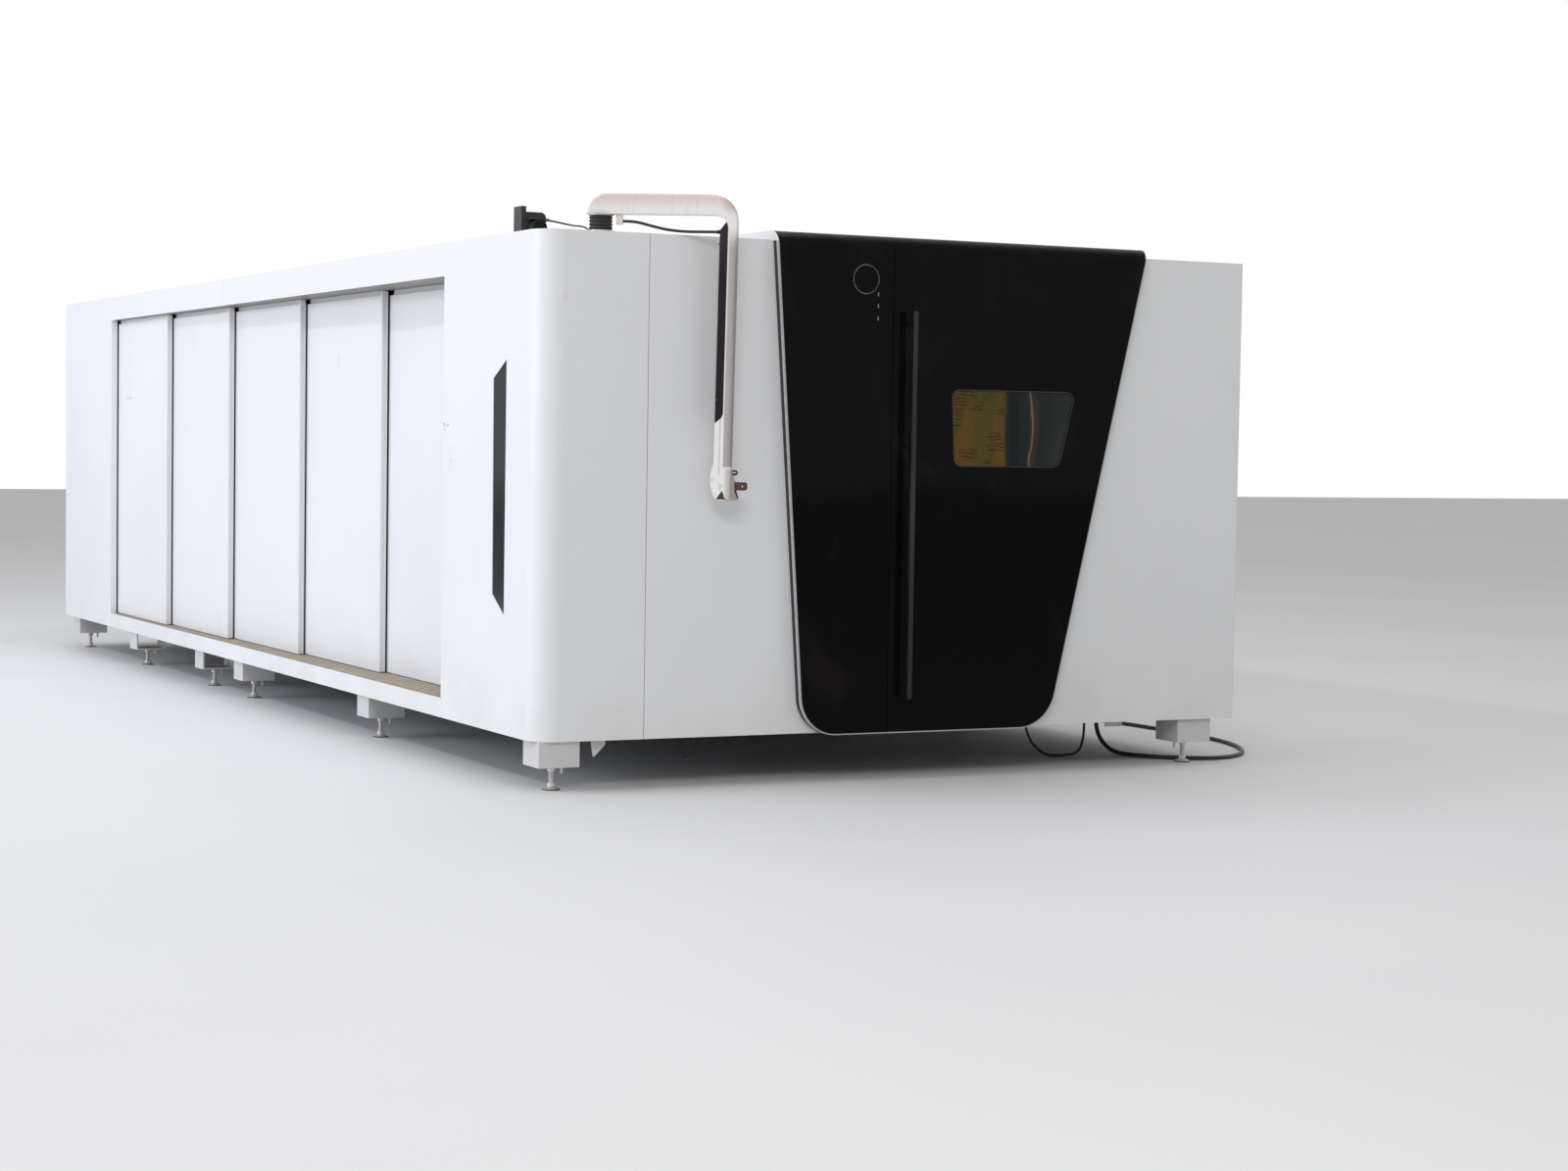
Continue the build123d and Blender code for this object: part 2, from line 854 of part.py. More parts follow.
def fascia_outline(inset, x_limits):
    """The front outline, moved in by an inset and cut to one leaf."""
    left_inset = inset * hypot(1, fascia_left_slope)
    right_inset = inset * hypot(1, fascia_right_slope)
    bottom = fascia_bottom + inset
    with BuildSketch(Plane.XZ) as outline:
        with BuildLine():
            FilletPolyline(
                (left_edge_x(fascia_top, left_inset), fascia_top),
                (left_edge_x(bottom, left_inset), bottom),
                (slanted_x(bottom, right_inset), bottom),
                (slanted_x(fascia_top, right_inset), fascia_top),
                radius=[0, fascia_left_radius - inset, fascia_right_radius - inset, 0],
                close=True,
            )
        make_face()
        with Locations(((x_limits[0] + x_limits[1]) / 2, fascia_top / 2)):
            Rectangle(x_limits[1] - x_limits[0], 2 * fascia_top, mode=Mode.INTERSECT)
    return outline.sketch


def fascia_section(inset):
    """The side section: front slab, rolled top and hood over the roof."""
    face = front - fascia_proud + inset
    crown = fascia_top - inset
    roll = fascia_roll - inset
    back = front - fascia_gap
    hood_back = front + hood_length
    hood_under = casing_top + hood_clearance
    with BuildSketch(Plane.YZ) as section:
        with BuildLine():
            FilletPolyline(
                (face, fascia_bottom),
                (face, crown),
                (hood_back, crown),
                (hood_back, hood_under),
                (back, hood_under),
                (back, fascia_bottom),
                radius=[0, roll, 0, 0, 0, 0],
                close=True,
            )
        make_face()
    return section.sketch


def fascia_body(outline, section):
    """The solid with the given front outline and side section."""
    with BuildPart() as body:
        add(extrude(section, amount=2 * casing_width, both=True, mode=Mode.PRIVATE))
        add(extrude(outline, amount=casing_length, both=True, mode=Mode.PRIVATE), mode=Mode.INTERSECT)
    return body.part


leaf_limits = (left, left + leaf_seam - seam_gap / 2)
door_limits = (left + leaf_seam + seam_gap / 2, right)
outer_section = fascia_section(0)
inner_section = fascia_section(leaf_skin)


def fascia_skin(x_limits):
    """The black sheet of one leaf, inside its edge trim."""
    outline = fascia_outline(trim_width, x_limits)
    with BuildPart() as skin:
        add(fascia_body(outline, outer_section))
        add(fascia_body(outline, inner_section), mode=Mode.SUBTRACT)
    return skin.part


def fascia_trim(x_limits):
    """The edge band of one leaf: flank, bottom and the sides of the hood."""
    with BuildPart() as trim:
        add(fascia_body(fascia_outline(0, x_limits), outer_section))
        add(fascia_body(fascia_outline(trim_width, x_limits), outer_section), mode=Mode.SUBTRACT)
    return trim.part


skin_back = front - fascia_proud + leaf_skin
rib_z = (fascia_bottom + 3 * rib_width, casing_top - rib_width)
with BuildPart() as fixed_leaf:
    add(fascia_skin(leaf_limits))
    for rib_x in (leaf_limits[1] - rib_width, left + fascia_left_top + 5 * rib_width):
        block((rib_x, rib_x + leaf_skin), (skin_back, front), rib_z)
save(fixed_leaf.part, "fixed_leaf")
save(fascia_trim(leaf_limits), "fixed_leaf_trim")

lights = []
for height in light_heights:
    lights.append(
        plate(
            (left + light_x - light_width / 2, left + light_x + light_width / 2),
            (front - fascia_proud - light_proud, front - fascia_proud),
            (height - light_height / 2, height + light_height / 2),
        )
    )
group(lights, "status_lights")


def window_outline(grow):
    """The door window's rounded outline, grown by a lap."""
    low = window_bottom - grow
    high = window_top + grow
    left_high = left + window_left - grow
    left_low = left_high + window_left_slope * (high - low)
    right_high = left + window_right_top + grow
    right_low = right_high - window_right_slope * (high - low)
    radius = window_radius + grow
    with BuildSketch(Plane.XZ) as outline:
        with BuildLine():
            FilletPolyline(
                (left_low, low),
                (right_low, low),
                (right_high, high),
                (left_high, high),
                radius=[radius, window_low_right_radius + grow, radius, radius],
                close=True,
            )
        make_face()
    return outline.sketch


rail_y = front + rail_setback
rail_z = (casing_top, casing_top + rail_height)
hood_inside = fascia_top - leaf_skin
with BuildPart() as door_leaf:
    add(fascia_skin(door_limits))
    edge_x = door_limits[0]
    flange_z = (fascia_bottom + trim_width, fascia_top - fascia_roll)
    block((edge_x, edge_x + leaf_skin), (skin_back, skin_back + 5 * leaf_skin), flange_z)
    add(
        extrude(window_outline(0), amount=casing_length, both=True, mode=Mode.PRIVATE),
        mode=Mode.SUBTRACT,
    )
save(door_leaf.part, "door_leaf")

with BuildPart() as door_trim:
    add(fascia_trim(door_limits))
    block(
        (right - casing_width / 2, right),
        (rail_y - runner_width, rail_y + runner_width),
        (casing_top, hood_inside),
        mode=Mode.SUBTRACT,
    )
save(door_trim.part, "door_trim")

with BuildPart() as door_window:
    with BuildSketch(Plane.XZ.offset(-skin_back)):
        add(window_outline(window_lap))
    extrude(amount=-window_glass)
save(door_window.part, "door_window")

handle_face = front - fascia_proud
handle_parts = [
    plate(
        (left + handle_x - handle_width / 2, left + handle_x + handle_width / 2),
        (handle_face - handle_reach - handle_depth, handle_face - handle_reach),
        (handle_bottom, handle_top),
    )
]
for height in standoff_heights:
    with BuildPart() as standoff:
        with BuildSketch(Plane.XZ.offset(-handle_face)):
            with Locations((left + handle_x, height)):
                Circle(standoff_radius)
        extrude(amount=handle_reach)
    handle_parts.append(standoff.part)
group(handle_parts, "door_handle")

# Door rail on the roof and guide bar on the front wall
rail_x = (door_limits[0] + rail_end_margin, right - rail_end_margin)
door_rail = plate(rail_x, (rail_y - rail_width / 2, rail_y + rail_width / 2), rail_z)
guide_z = (guide_bar_bottom, guide_bar_bottom + guide_bar_height)
shoe_start = door_limits[0] + rail_end_margin
guide_x = (shoe_start - rail_end_margin / 2, shoe_start + shoe_length + door_travel + rail_end_margin / 2)
guide_bar = plate(guide_x, (front - fascia_gap - guide_bar_depth, front), guide_z)
group([door_rail, guide_bar], "door_rails")

# Runners under the hood and the shoe round the guide bar, all carried by the door
runners = []
for station in runner_stations:
    with BuildPart() as runner:
        start = door_limits[0] + station
        y_span = (rail_y - runner_width / 2, rail_y + runner_width / 2)
        block((start, start + runner_length), y_span, (casing_top + hood_clearance, hood_inside))
        block(
            (start, start + runner_length),
            (rail_y - rail_width / 2 - slide_gap, rail_y + rail_width / 2 + slide_gap),
            (casing_top, casing_top + rail_height + slide_gap),
            mode=Mode.SUBTRACT,
        )
    runners.append(runner.part)
with BuildPart() as guide_shoe:
    bar_front = front - fascia_gap - guide_bar_depth
    block(
        (shoe_start, shoe_start + shoe_length),
        (skin_back, front - fascia_gap),
        (guide_z[0] - slide_gap - shoe_wall, guide_z[1] + slide_gap + shoe_wall),
    )
    block(
        (shoe_start, shoe_start + shoe_length),
        (bar_front - slide_gap, front),
        (guide_z[0] - slide_gap, guide_z[1] + slide_gap),
        mode=Mode.SUBTRACT,
    )
runners.append(guide_shoe.part)
group(runners, "door_runners")

# Rails and magnet tracks on the bed
rail_centre = left + bed_inset + bed_beam_width / 2 - magnet_offset / 2
bed_rail = plate(
    (rail_centre - linear_rail_width / 2, rail_centre + linear_rail_width / 2),
    bed_y,
    (bed_top, bed_top + linear_rail_height),
)
group(mirrored([bed_rail]), "gantry_rails")
magnet_centre = rail_centre + magnet_offset
magnet_track = plate(
    (magnet_centre - magnet_width / 2 + linear_rail_width / 2, magnet_centre + magnet_width / 2),
    bed_y,
    (bed_top, bed_top + magnet_height),
)
group(mirrored([magnet_track]), "magnet_tracks")

# Cutting table, its slats and the slag tray under it
table_x = (ledge_x[0] + table_gap, 2 * mirror_x - ledge_x[0] - table_gap)
table_y = (front + table_front, front + table_rear)
table_z = (ledge_top, ledge_top + table_member)
table_tubes = mirrored([beam((table_x[0], table_x[0] + table_member), table_y, table_z, "Y")])
table_inner_x = (table_x[0] + table_member, table_x[1] - table_member)
for y_low in (table_y[0], (table_y[0] + table_y[1] - table_member) / 2, table_y[1] - table_member):
    table_tubes.append(beam(table_inner_x, (y_low, y_low + table_member), table_z, "X"))
group(table_tubes, "table_frame")

with BuildPart() as slat:
    tooth_pitch = slat_height
    teeth = int((table_x[1] - table_x[0]) / tooth_pitch)
    slat_start = mirror_x - teeth * tooth_pitch / 2
    crest = table_z[1] + slat_height
    outline = [(slat_start, table_z[1]), (slat_start, crest)]
    for tooth in range(teeth):
        outline.append((slat_start + (tooth + 0.5) * tooth_pitch, crest - slat_tooth))
        outline.append((slat_start + (tooth + 1) * tooth_pitch, crest))
    outline.append((slat_start + teeth * tooth_pitch, table_z[1]))
    with BuildSketch(Plane.XZ.offset(-table_y[0] - table_member / 2)):
        with BuildLine():
            Polyline(*outline, close=True)
        make_face()
    extrude(amount=-slat_thickness)
slat_count = int((table_y[1] - table_y[0] - table_member) / slat_pitch)
group([Pos(0, slat_pitch * index, 0) * slat.part for index in range(slat_count)], "slats")

with BuildPart() as slag_tray:
    tray_x = (bed_x[1] + table_gap, 2 * mirror_x - bed_x[1] - table_gap)
    block(tray_x, table_y, (cross_top, cross_top + tray_height))
    block(
        (tray_x[0] + tray_wall, tray_x[1] - tray_wall),
        (table_y[0] + tray_wall, table_y[1] - tray_wall),
        (cross_top + tray_wall, cross_top + tray_height + tray_wall),
        mode=Mode.SUBTRACT,
    )
save(slag_tray.part, "slag_tray")

# Gantry beam with its cross rails, parked at the rear
truck_z = bed_top + linear_rail_height + slide_gap + runner_block_height / 2
beam_z = (truck_z + truck_height, truck_z + truck_height + gantry_height)
park_y = front + gantry_park
beam_y = (park_y - gantry_depth / 2, park_y + gantry_depth / 2)
gantry_x = (rail_centre - truck_width / 2, 2 * mirror_x - rail_centre + truck_width / 2)
with BuildPart() as gantry_beam:
    block(gantry_x, beam_y, beam_z)
    block(
        (gantry_x[0] - 1, gantry_x[1] + 1),
        (beam_y[0] + gantry_wall, beam_y[1] - gantry_wall),
        (beam_z[0] + gantry_wall, beam_z[1] - gantry_wall),
        mode=Mode.SUBTRACT,
    )
    for rail_low in (beam_z[0] + cross_rail_inset, beam_z[1] - cross_rail_inset - cross_rail_size):
        block(gantry_x, (beam_y[0] - cross_rail_size, beam_y[0]), (rail_low, rail_low + cross_rail_size))
save(gantry_beam.part, "gantry_beam")


def truck():
    """One end truck: plate, two runner blocks on the rail and the motor coil over the magnets."""
    with BuildPart() as piece:
        x_span = (rail_centre - truck_width / 2, rail_centre + truck_width / 2)
        y_span = (park_y - truck_length / 2, park_y + truck_length / 2)
        block(x_span, y_span, (truck_z, truck_z + truck_height))
        rail_edge = linear_rail_width / 2 + slide_gap
        for sign in (-1, 1):
            runner_y = park_y + sign * truck_length / 3
            y_span = (runner_y - runner_block_width / 2, runner_y + runner_block_width / 2)
            outer = rail_edge + slide_gap + linear_rail_width / 3
            block((rail_centre - outer, rail_centre + outer), y_span, (bed_top + magnet_height, truck_z))
            block(
                (rail_centre - rail_edge, rail_centre + rail_edge),
                y_span,
                (bed_top, bed_top + linear_rail_height + slide_gap),
                mode=Mode.SUBTRACT,
            )
        coil_x_span = (magnet_centre, magnet_centre + magnet_width / 2)
        block(
            coil_x_span,
            (park_y - truck_length / 5, park_y + truck_length / 5),
            (bed_top + magnet_height + 2 * slide_gap, truck_z),
        )
    return piece.part


group(mirrored([truck()]), "gantry_trucks")

# Cross carriage in front of the beam
carriage_x = left + carriage_park
carriage_span = (carriage_x - carriage_width / 2, carriage_x + carriage_width / 2)
plate_back = beam_y[0] - cross_rail_size - slide_gap
with BuildPart() as cross_carriage:
    block(carriage_span, (plate_back - carriage_plate, plate_back), beam_z)
    for rail_low in (beam_z[0] + cross_rail_inset, beam_z[1] - cross_rail_inset - cross_rail_size):
        for pad_low in (rail_low - cross_rail_size - slide_gap, rail_low + cross_rail_size + slide_gap):
            block(
                carriage_span,
                (plate_back, beam_y[0] - cross_rail_size / 4),
                (pad_low, pad_low + cross_rail_size),
            )
    rail_back = plate_back - carriage_plate
    for side in (-1, 1):
        z_rail_x = carriage_x + side * z_slide_width / 3
        block(
            (z_rail_x - z_rail_size / 2, z_rail_x + z_rail_size / 2),
            (rail_back - z_rail_size, rail_back),
            beam_z,
        )
save(cross_carriage.part, "cross_carriage")

# Z slide and cutting head
slide_back = rail_back - slide_gap
slide_bottom = nozzle_height + slide_lift
with BuildPart() as z_slide:
    x_span = (carriage_x - z_slide_width / 2, carriage_x + z_slide_width / 2)
    block(x_span, (slide_back - z_slide_depth, slide_back), (slide_bottom, slide_bottom + z_slide_height))
    for side in (-1, 1):
        z_rail_x = carriage_x + side * z_slide_width / 3
        block(
            (z_rail_x - z_rail_size / 2 - slide_gap, z_rail_x + z_rail_size / 2 + slide_gap),
            (rail_back - z_rail_size - slide_gap, slide_back),
            (slide_bottom, slide_bottom + z_slide_height),
            mode=Mode.SUBTRACT,
        )
save(z_slide.part, "z_slide")

with BuildPart() as cutting_head:
    head_y = slide_back - z_slide_depth - head_radius
    head_top = nozzle_height + head_length
    with BuildSketch(Plane.XZ.offset(-head_y)):
        with BuildLine():
            Polyline(
                (carriage_x, nozzle_height),
                (carriage_x + nozzle_tip_radius, nozzle_height),
                (carriage_x + nozzle_cone[0], nozzle_height + nozzle_cone[1]),
                (carriage_x + head_neck[0], nozzle_height + head_neck[1]),
                (carriage_x + head_radius, nozzle_height + head_shoulder),
                (carriage_x + head_radius, head_top - head_cap),
                (carriage_x + head_radius * 0.7, head_top),
                (carriage_x, head_top),
                close=True,
            )
        make_face()
    revolve(axis=Axis((carriage_x, head_y, 0), (0, 0, 1)))
    block(
        (carriage_x - head_radius / 2, carriage_x + head_radius / 2),
        (head_y, slide_back - z_slide_depth),
        (nozzle_height + head_mount[0], nozzle_height + head_mount[1]),
    )
save(cutting_head.part, "cutting_head")


# Rear compartment
def cabinet(x_low, width, height, name):
    """A sheet metal cabinet, open below where it stands on the cross beams."""
    with BuildPart() as piece:
        x_span = (left + x_low, left + x_low + width)
        y_span = (front + cabinet_front, front + cabinet_front + cabinet_depth)
        block(x_span, y_span, (cross_top, cross_top + height))
        block(
            (x_span[0] + cabinet_wall, x_span[1] - cabinet_wall),
            (y_span[0] + cabinet_wall, y_span[1] - cabinet_wall),
            (cross_top - cabinet_wall, cross_top + height - cabinet_wall),
            mode=Mode.SUBTRACT,
        )
    save(piece.part, name)


cabinet(cabinet_left, cabinet_width, cabinet_height, "control_cabinet")
cabinet(source_left, source_width, source_height, "laser_source")

# Swing arm: post, boot, shell, cable cover, tip and clevis
post = (left + post_inset, front + post_setback)
flange_top = casing_top + post_flange_height
arm_under = casing_top + arm_clearance
socket_top = arm_under + socket_depth
arm_over = arm_under + arm_height
elbow_low = arm_under - arm_elbow_inside
shell_end = arm_under - shell_drop
cover_end = arm_under - cover_drop
tip_bottom = arm_under - tip_drop
lug_centre = tip_bottom + lug_rise
arm_gland_level = arm_under - arm_gland_drop
with BuildPart() as arm_base:
    with BuildSketch(Plane.XY.offset(casing_top)):
        with Locations(post):
            Circle(post_flange_radius)
    extrude(amount=post_flange_height)
    with BuildSketch(Plane.XY.offset(flange_top)):
        with Locations(post):
            Circle(post_radius)
    extrude(amount=socket_top - slide_gap - flange_top)
save(arm_base.part, "arm_base")

with BuildPart() as arm_boot:
    boot_top = arm_under - slide_gap
    pleat_height = (boot_top - flange_top) / boot_pleats
    profile = [(post_radius + slide_gap, flange_top), (boot_radius, flange_top)]
    for pleat in range(boot_pleats):
        level = flange_top + pleat * pleat_height
        profile.append((boot_radius - boot_pleat, level + pleat_height / 2))
        profile.append((boot_radius, level + pleat_height))
    profile.append((post_radius + slide_gap, boot_top))
    with BuildSketch(Plane.XZ.offset(-post[1])):
        with BuildLine():
            Polyline(*[(post[0] + radius, level) for radius, level in profile], close=True)
        make_face()
    revolve(axis=Axis((*post, 0), (0, 0, 1)))
save(arm_boot.part, "arm_boot")

arm_plane = Plane(origin=(*post, 0), x_dir=(cos(radians(arm_angle)), sin(radians(arm_angle)), 0), z_dir=(
    -sin(radians(-arm_angle)), -cos(radians(-arm_angle)), 0))
lean = tan(radians(arm_lean))


def outer_u(level):
    """Distance from the post to the drop's outer face at a height."""
    return arm_reach - lean * (casing_top - level)


def ridge_u(level):
    """Distance from the post to the edge between shell and cable cover."""
    return outer_u(level) - arm_shell_depth


def inner_u(level):
    """Distance from the post to the cover's inner edge."""
    return ridge_u(level) - arm_cover_depth


with BuildPart() as arm_shell:
    with BuildSketch(arm_plane):
        elbow_top = arm_over - arm_elbow_radius
        corner_u = outer_u(elbow_top)
        with BuildLine():
            start = (-arm_heel, arm_under)
            bend_start = inner_u(arm_under) - arm_elbow_inside / 2
            Line(start, (bend_start, arm_under))
            Spline(
                (bend_start, arm_under),
                (ridge_u(arm_under) - 0.3 * arm_elbow_inside, arm_under - 0.27 * arm_elbow_inside),
                (ridge_u(elbow_low), elbow_low),
                tangents=[(1, 0), (-lean, -1)],
            )
            Line((ridge_u(elbow_low), elbow_low), (ridge_u(shell_end), shell_end))
            Line((ridge_u(shell_end), shell_end), (outer_u(shell_end), shell_end))
            Line((outer_u(shell_end), shell_end), (corner_u, elbow_top))
            Spline(
                (corner_u, elbow_top),
                (corner_u - 0.27 * arm_elbow_radius, arm_over - 0.27 * arm_elbow_radius),
                (corner_u - 1.15 * arm_elbow_radius, arm_over),
                tangents=[(lean, 1), (-1, 0)],
            )
            crown = (arm_crown_start, arm_over)
            Line((corner_u - 1.15 * arm_elbow_radius, arm_over), crown)
            ThreePointArc(crown, (-arm_heel_mid[0], arm_under + arm_heel_mid[1]), start)
        make_face()
    extrude(amount=arm_width / 2, both=True)
    flat_faces = arm_shell.faces().sort_by(Axis(arm_plane.origin, arm_plane.z_dir))
    outer_edges = flat_faces[-1].edges() + flat_faces[0].edges()
    upper_edges = outer_edges.filter_by(lambda edge: edge.center().Z > arm_over - arm_height / 2)
    fillet(upper_edges, arm_edge_radius)
    with Locations((*post, arm_under)):
        Cylinder(post_radius + running_fit, 2 * socket_depth, mode=Mode.SUBTRACT)
    with BuildSketch(arm_plane):
        with Locations((arm_boss_u - arm_boss_width / 2, arm_under)):
            Rectangle(arm_boss_width, arm_boss_height, align=(Align.CENTER, Align.MAX))
    extrude(amount=arm_boss_width / 2, both=True)
save(arm_shell.part, "arm_shell")


def drop_section(outer_half):
    """The drop's plan section, wide at the shell and narrowing towards the post."""
    reach = outer_u(casing_top)
    with BuildSketch(Plane(origin=(*post, 0), x_dir=arm_plane.x_dir, z_dir=(0, 0, 1))) as section:
        with BuildLine():
            inside = inner_u(tip_bottom) - arm_cover_depth
            Polyline(
                (inside, -arm_cover_edge / 4),
                (ridge_u(casing_top), -arm_width / 2),
                (reach, -arm_width / 2),
                (reach + 2 * arm_cover_depth, -outer_half),
                (reach + 2 * arm_cover_depth, outer_half),
                (reach, arm_width / 2),
                (ridge_u(casing_top), arm_width / 2),
                (inside, arm_cover_edge / 4),
                close=True,
            )
        make_face()
    return section.sketch


# The S-shaped joint between the cable cover and the tip, from the shell inwards
lap_in, lap_low, lap_high = cover_lap
cover_joint = [
    (ridge_u(cover_end + lap_high), cover_end + lap_high),
    (ridge_u(cover_end + lap_low) - lap_in, cover_end + lap_low),
    (inner_u(cover_end), cover_end),
]

with BuildPart() as arm_cable_cover:
    cover_top = elbow_low - cover_top_gap
    with BuildSketch(arm_plane):
        with BuildLine():
            Polyline(
                (inner_u(cover_top), cover_top),
                (ridge_u(cover_top), cover_top + cover_mitre),
                *cover_joint,
                close=True,
            )
        make_face()
    extrude(amount=arm_width, both=True)
    add(extrude(drop_section(arm_width / 2), amount=casing_top * 2, mode=Mode.PRIVATE), mode=Mode.INTERSECT)
    add(arm_shell.part, mode=Mode.SUBTRACT)
    gland_u = inner_u(arm_gland_level) - arm_gland_length
    along_arm = (cos(radians(arm_angle)), sin(radians(arm_angle)), 0)
    gland_face = arm_plane.from_local_coords((gland_u, arm_gland_level, 0))
    with BuildSketch(Plane(origin=gland_face, z_dir=along_arm)):
        Circle(arm_gland_radius)
    extrude(amount=arm_gland_length + arm_cover_edge / 2)
save(arm_cable_cover.part, "arm_cable_cover")

tip_face = outer_u(shell_end) + tip_flat
with BuildPart() as arm_tip:
    with BuildSketch(arm_plane):
        with BuildLine():
            Polyline(
                *reversed(cover_joint),
                (ridge_u(shell_end), shell_end),
                (outer_u(shell_end), shell_end),
                (outer_u(shell_end), shell_end - 1.4 * tip_flat),
                (tip_face, lug_centre + 0.6 * lug_height),
                (tip_face, lug_centre - 0.6 * lug_height),
                *[(outer_u(shell_end) + u, tip_bottom + rise) for u, rise in tip_toe],
                *[(inner_u(shell_end) + u, tip_bottom + rise) for u, rise in tip_back],
                close=True,
            )
        make_face()
    extrude(amount=arm_width, both=True)
    add(extrude(drop_section(arm_width / 3), amount=casing_top * 2, mode=Mode.PRIVATE), mode=Mode.INTERSECT)
save(arm_tip.part, "arm_tip")

# Clevis for the console: two lugs on a back plate, with a level pin hole
with BuildPart() as console_clevis:
    for side in (-1, 1):
        with BuildSketch(arm_plane.offset(side * (lug_gap + lug_thickness) / 2)):
            with BuildLine():
                FilletPolyline(
                    (tip_face, lug_centre - lug_height / 2),
                    (tip_face + lug_reach, lug_centre - lug_height / 2),
                    (tip_face + lug_reach, lug_centre + lug_height / 2),
                    (tip_face, lug_centre + lug_height / 2),
                    radius=[0, lug_corner, lug_corner, 0],
                    close=True,
                )
            make_face()
            with Locations((tip_face + lug_reach - lug_hole_inset, lug_centre)):
                Circle(lug_hole, mode=Mode.SUBTRACT)
        extrude(amount=lug_thickness / 2, both=True)
    with BuildSketch(arm_plane):
        with Locations((tip_face + lug_thickness / 2, lug_centre)):
            Rectangle(lug_thickness, lug_height)
    extrude(amount=lug_gap / 2 + lug_thickness, both=True)
save(console_clevis.part, "console_clevis")

# Roof camera on its plate
camera_base = (left + camera_x, front + camera_y)
with BuildPart() as roof_camera:
    plate_x = (camera_base[0] - camera_plate, camera_base[0])
    y_span = (camera_base[1] - camera_depth / 2, camera_base[1] + camera_depth / 2)
    block(plate_x, y_span, (casing_top, casing_top + camera_plate_height))
    with BuildSketch(Plane.XZ.offset(-y_span[0])):
        with BuildLine():
            FilletPolyline(
                (camera_base[0], casing_top),
                (camera_base[0] + camera_length, casing_top),
                (camera_base[0] + camera_length, casing_top + camera_height),
                (camera_base[0], casing_top + camera_height),
                radius=[0, 0, camera_hood_radius, 0],
                close=True,
            )
        make_face()
    extrude(amount=-camera_depth)
save(roof_camera.part, "roof_camera")


def from_faces(points):
    """Points given from the casing's left and front faces, in the part's own frame."""
    return [(left + x, front + y, z) for x, y, z in points]


# Cable glands under the first cross beam and beside the arm's base
gland_y = (first_span[0] + first_span[1]) / 2 + gland_shift
supply_exit = (left + supply_gland_x, gland_y)
hose_exits = [(left + hose_x, gland_y) for hose_x in hose_glands]


def cable_gland(place, hole):
    """A hexagonal gland with a tapered strain relief, pointing down."""
    with BuildPart() as piece:
        with BuildSketch(Plane.XY.offset(ground_clearance - gland_length / 2)):
            with Locations(place):
                RegularPolygon(1.8 * hole, 6)
        extrude(amount=gland_length / 2)
        with BuildSketch(Plane.XY.offset(ground_clearance - gland_length / 2)):
            with Locations(place):
                Circle(1.5 * hole)
        extrude(amount=-gland_length / 2, taper=8)
    return piece.part


with BuildPart() as roof_gland:
    last_x, last_y = from_faces(camera_route)[-1][:2]
    heading = Vector(*camera_route[-1]) - Vector(*camera_route[-2])
    gland_plane = Plane(origin=(last_x, last_y, casing_top), x_dir=heading, z_dir=(0, 0, 1))
    with BuildSketch(gland_plane):
        with Locations((0, 0)):
            Rectangle(roof_gland_length, 2 * camera_cord_diameter, align=(Align.MIN, Align.CENTER))
    extrude(amount=1.5 * camera_cord_diameter)
glands = [cable_gland(supply_exit, supply_diameter / 2)]
glands += [cable_gland(place, hose_diameter / 2) for place in hose_exits]
group([*glands, roof_gland.part], "cable_glands")


# Free cords: straight runs joined by the widest arcs that the runs allow
def arc_radii(points):
    """The radius at each inner point, worked out from its two runs and its turn."""
    vectors = [Vector(*point) for point in points]
    radii = []
    for before, here, after in zip(vectors, vectors[1:], vectors[2:]):
        incoming = here - before
        outgoing = after - here
        turn = radians(incoming.get_angle(outgoing))
        radii.append(0.45 * min(incoming.length, outgoing.length) / tan(turn / 2))
    return radii


def cord(points, diameter, name):
    """A round tube along a route."""
    radii = arc_radii(points)
    with BuildPart() as piece:
        with BuildLine():
            route = FilletPolyline(*points, radius=radii)
        with BuildSketch(Plane(origin=route @ 0, z_dir=route % 0)):
            Circle(diameter / 2)
        sweep()
    shown = ", ".join(f"{radius:.0f}" for radius in radii)
    length = route.length
    filling = piece.part.volume / (pi * diameter**2 / 4 * length)
    print(f"{name}: length {length:.0f} mm, radii {shown}; volume over section times length {filling:.4f}")
    save(piece.part, name)


cord(from_faces(supply_route), supply_diameter, "supply_cable")
cord(from_faces(hose_route), hose_diameter, "air_hose")
cord(from_faces(camera_route), camera_cord_diameter, "camera_cord")
arm_route = [(gland_u, arm_gland_level), *arm_cord_route]
cord([arm_plane.from_local_coords((u, z, 0)) for u, z in arm_route], arm_cord_diameter, "arm_cord")
cord(from_faces(tail_route), supply_diameter, "supply_cable_tail")

with BuildPart() as supply_coil:
    with BuildSketch(Plane.XZ.offset(-front - coil_y)):
        with Locations((left + coil_x + coil_mean_radius, coil_height / 2)):
            RectangleRounded(coil_width, coil_height, supply_diameter / 2)
    revolve(axis=Axis((left + coil_x, front + coil_y, 0), (0, 0, 1)))
save(supply_coil.part, "supply_cable_coil")

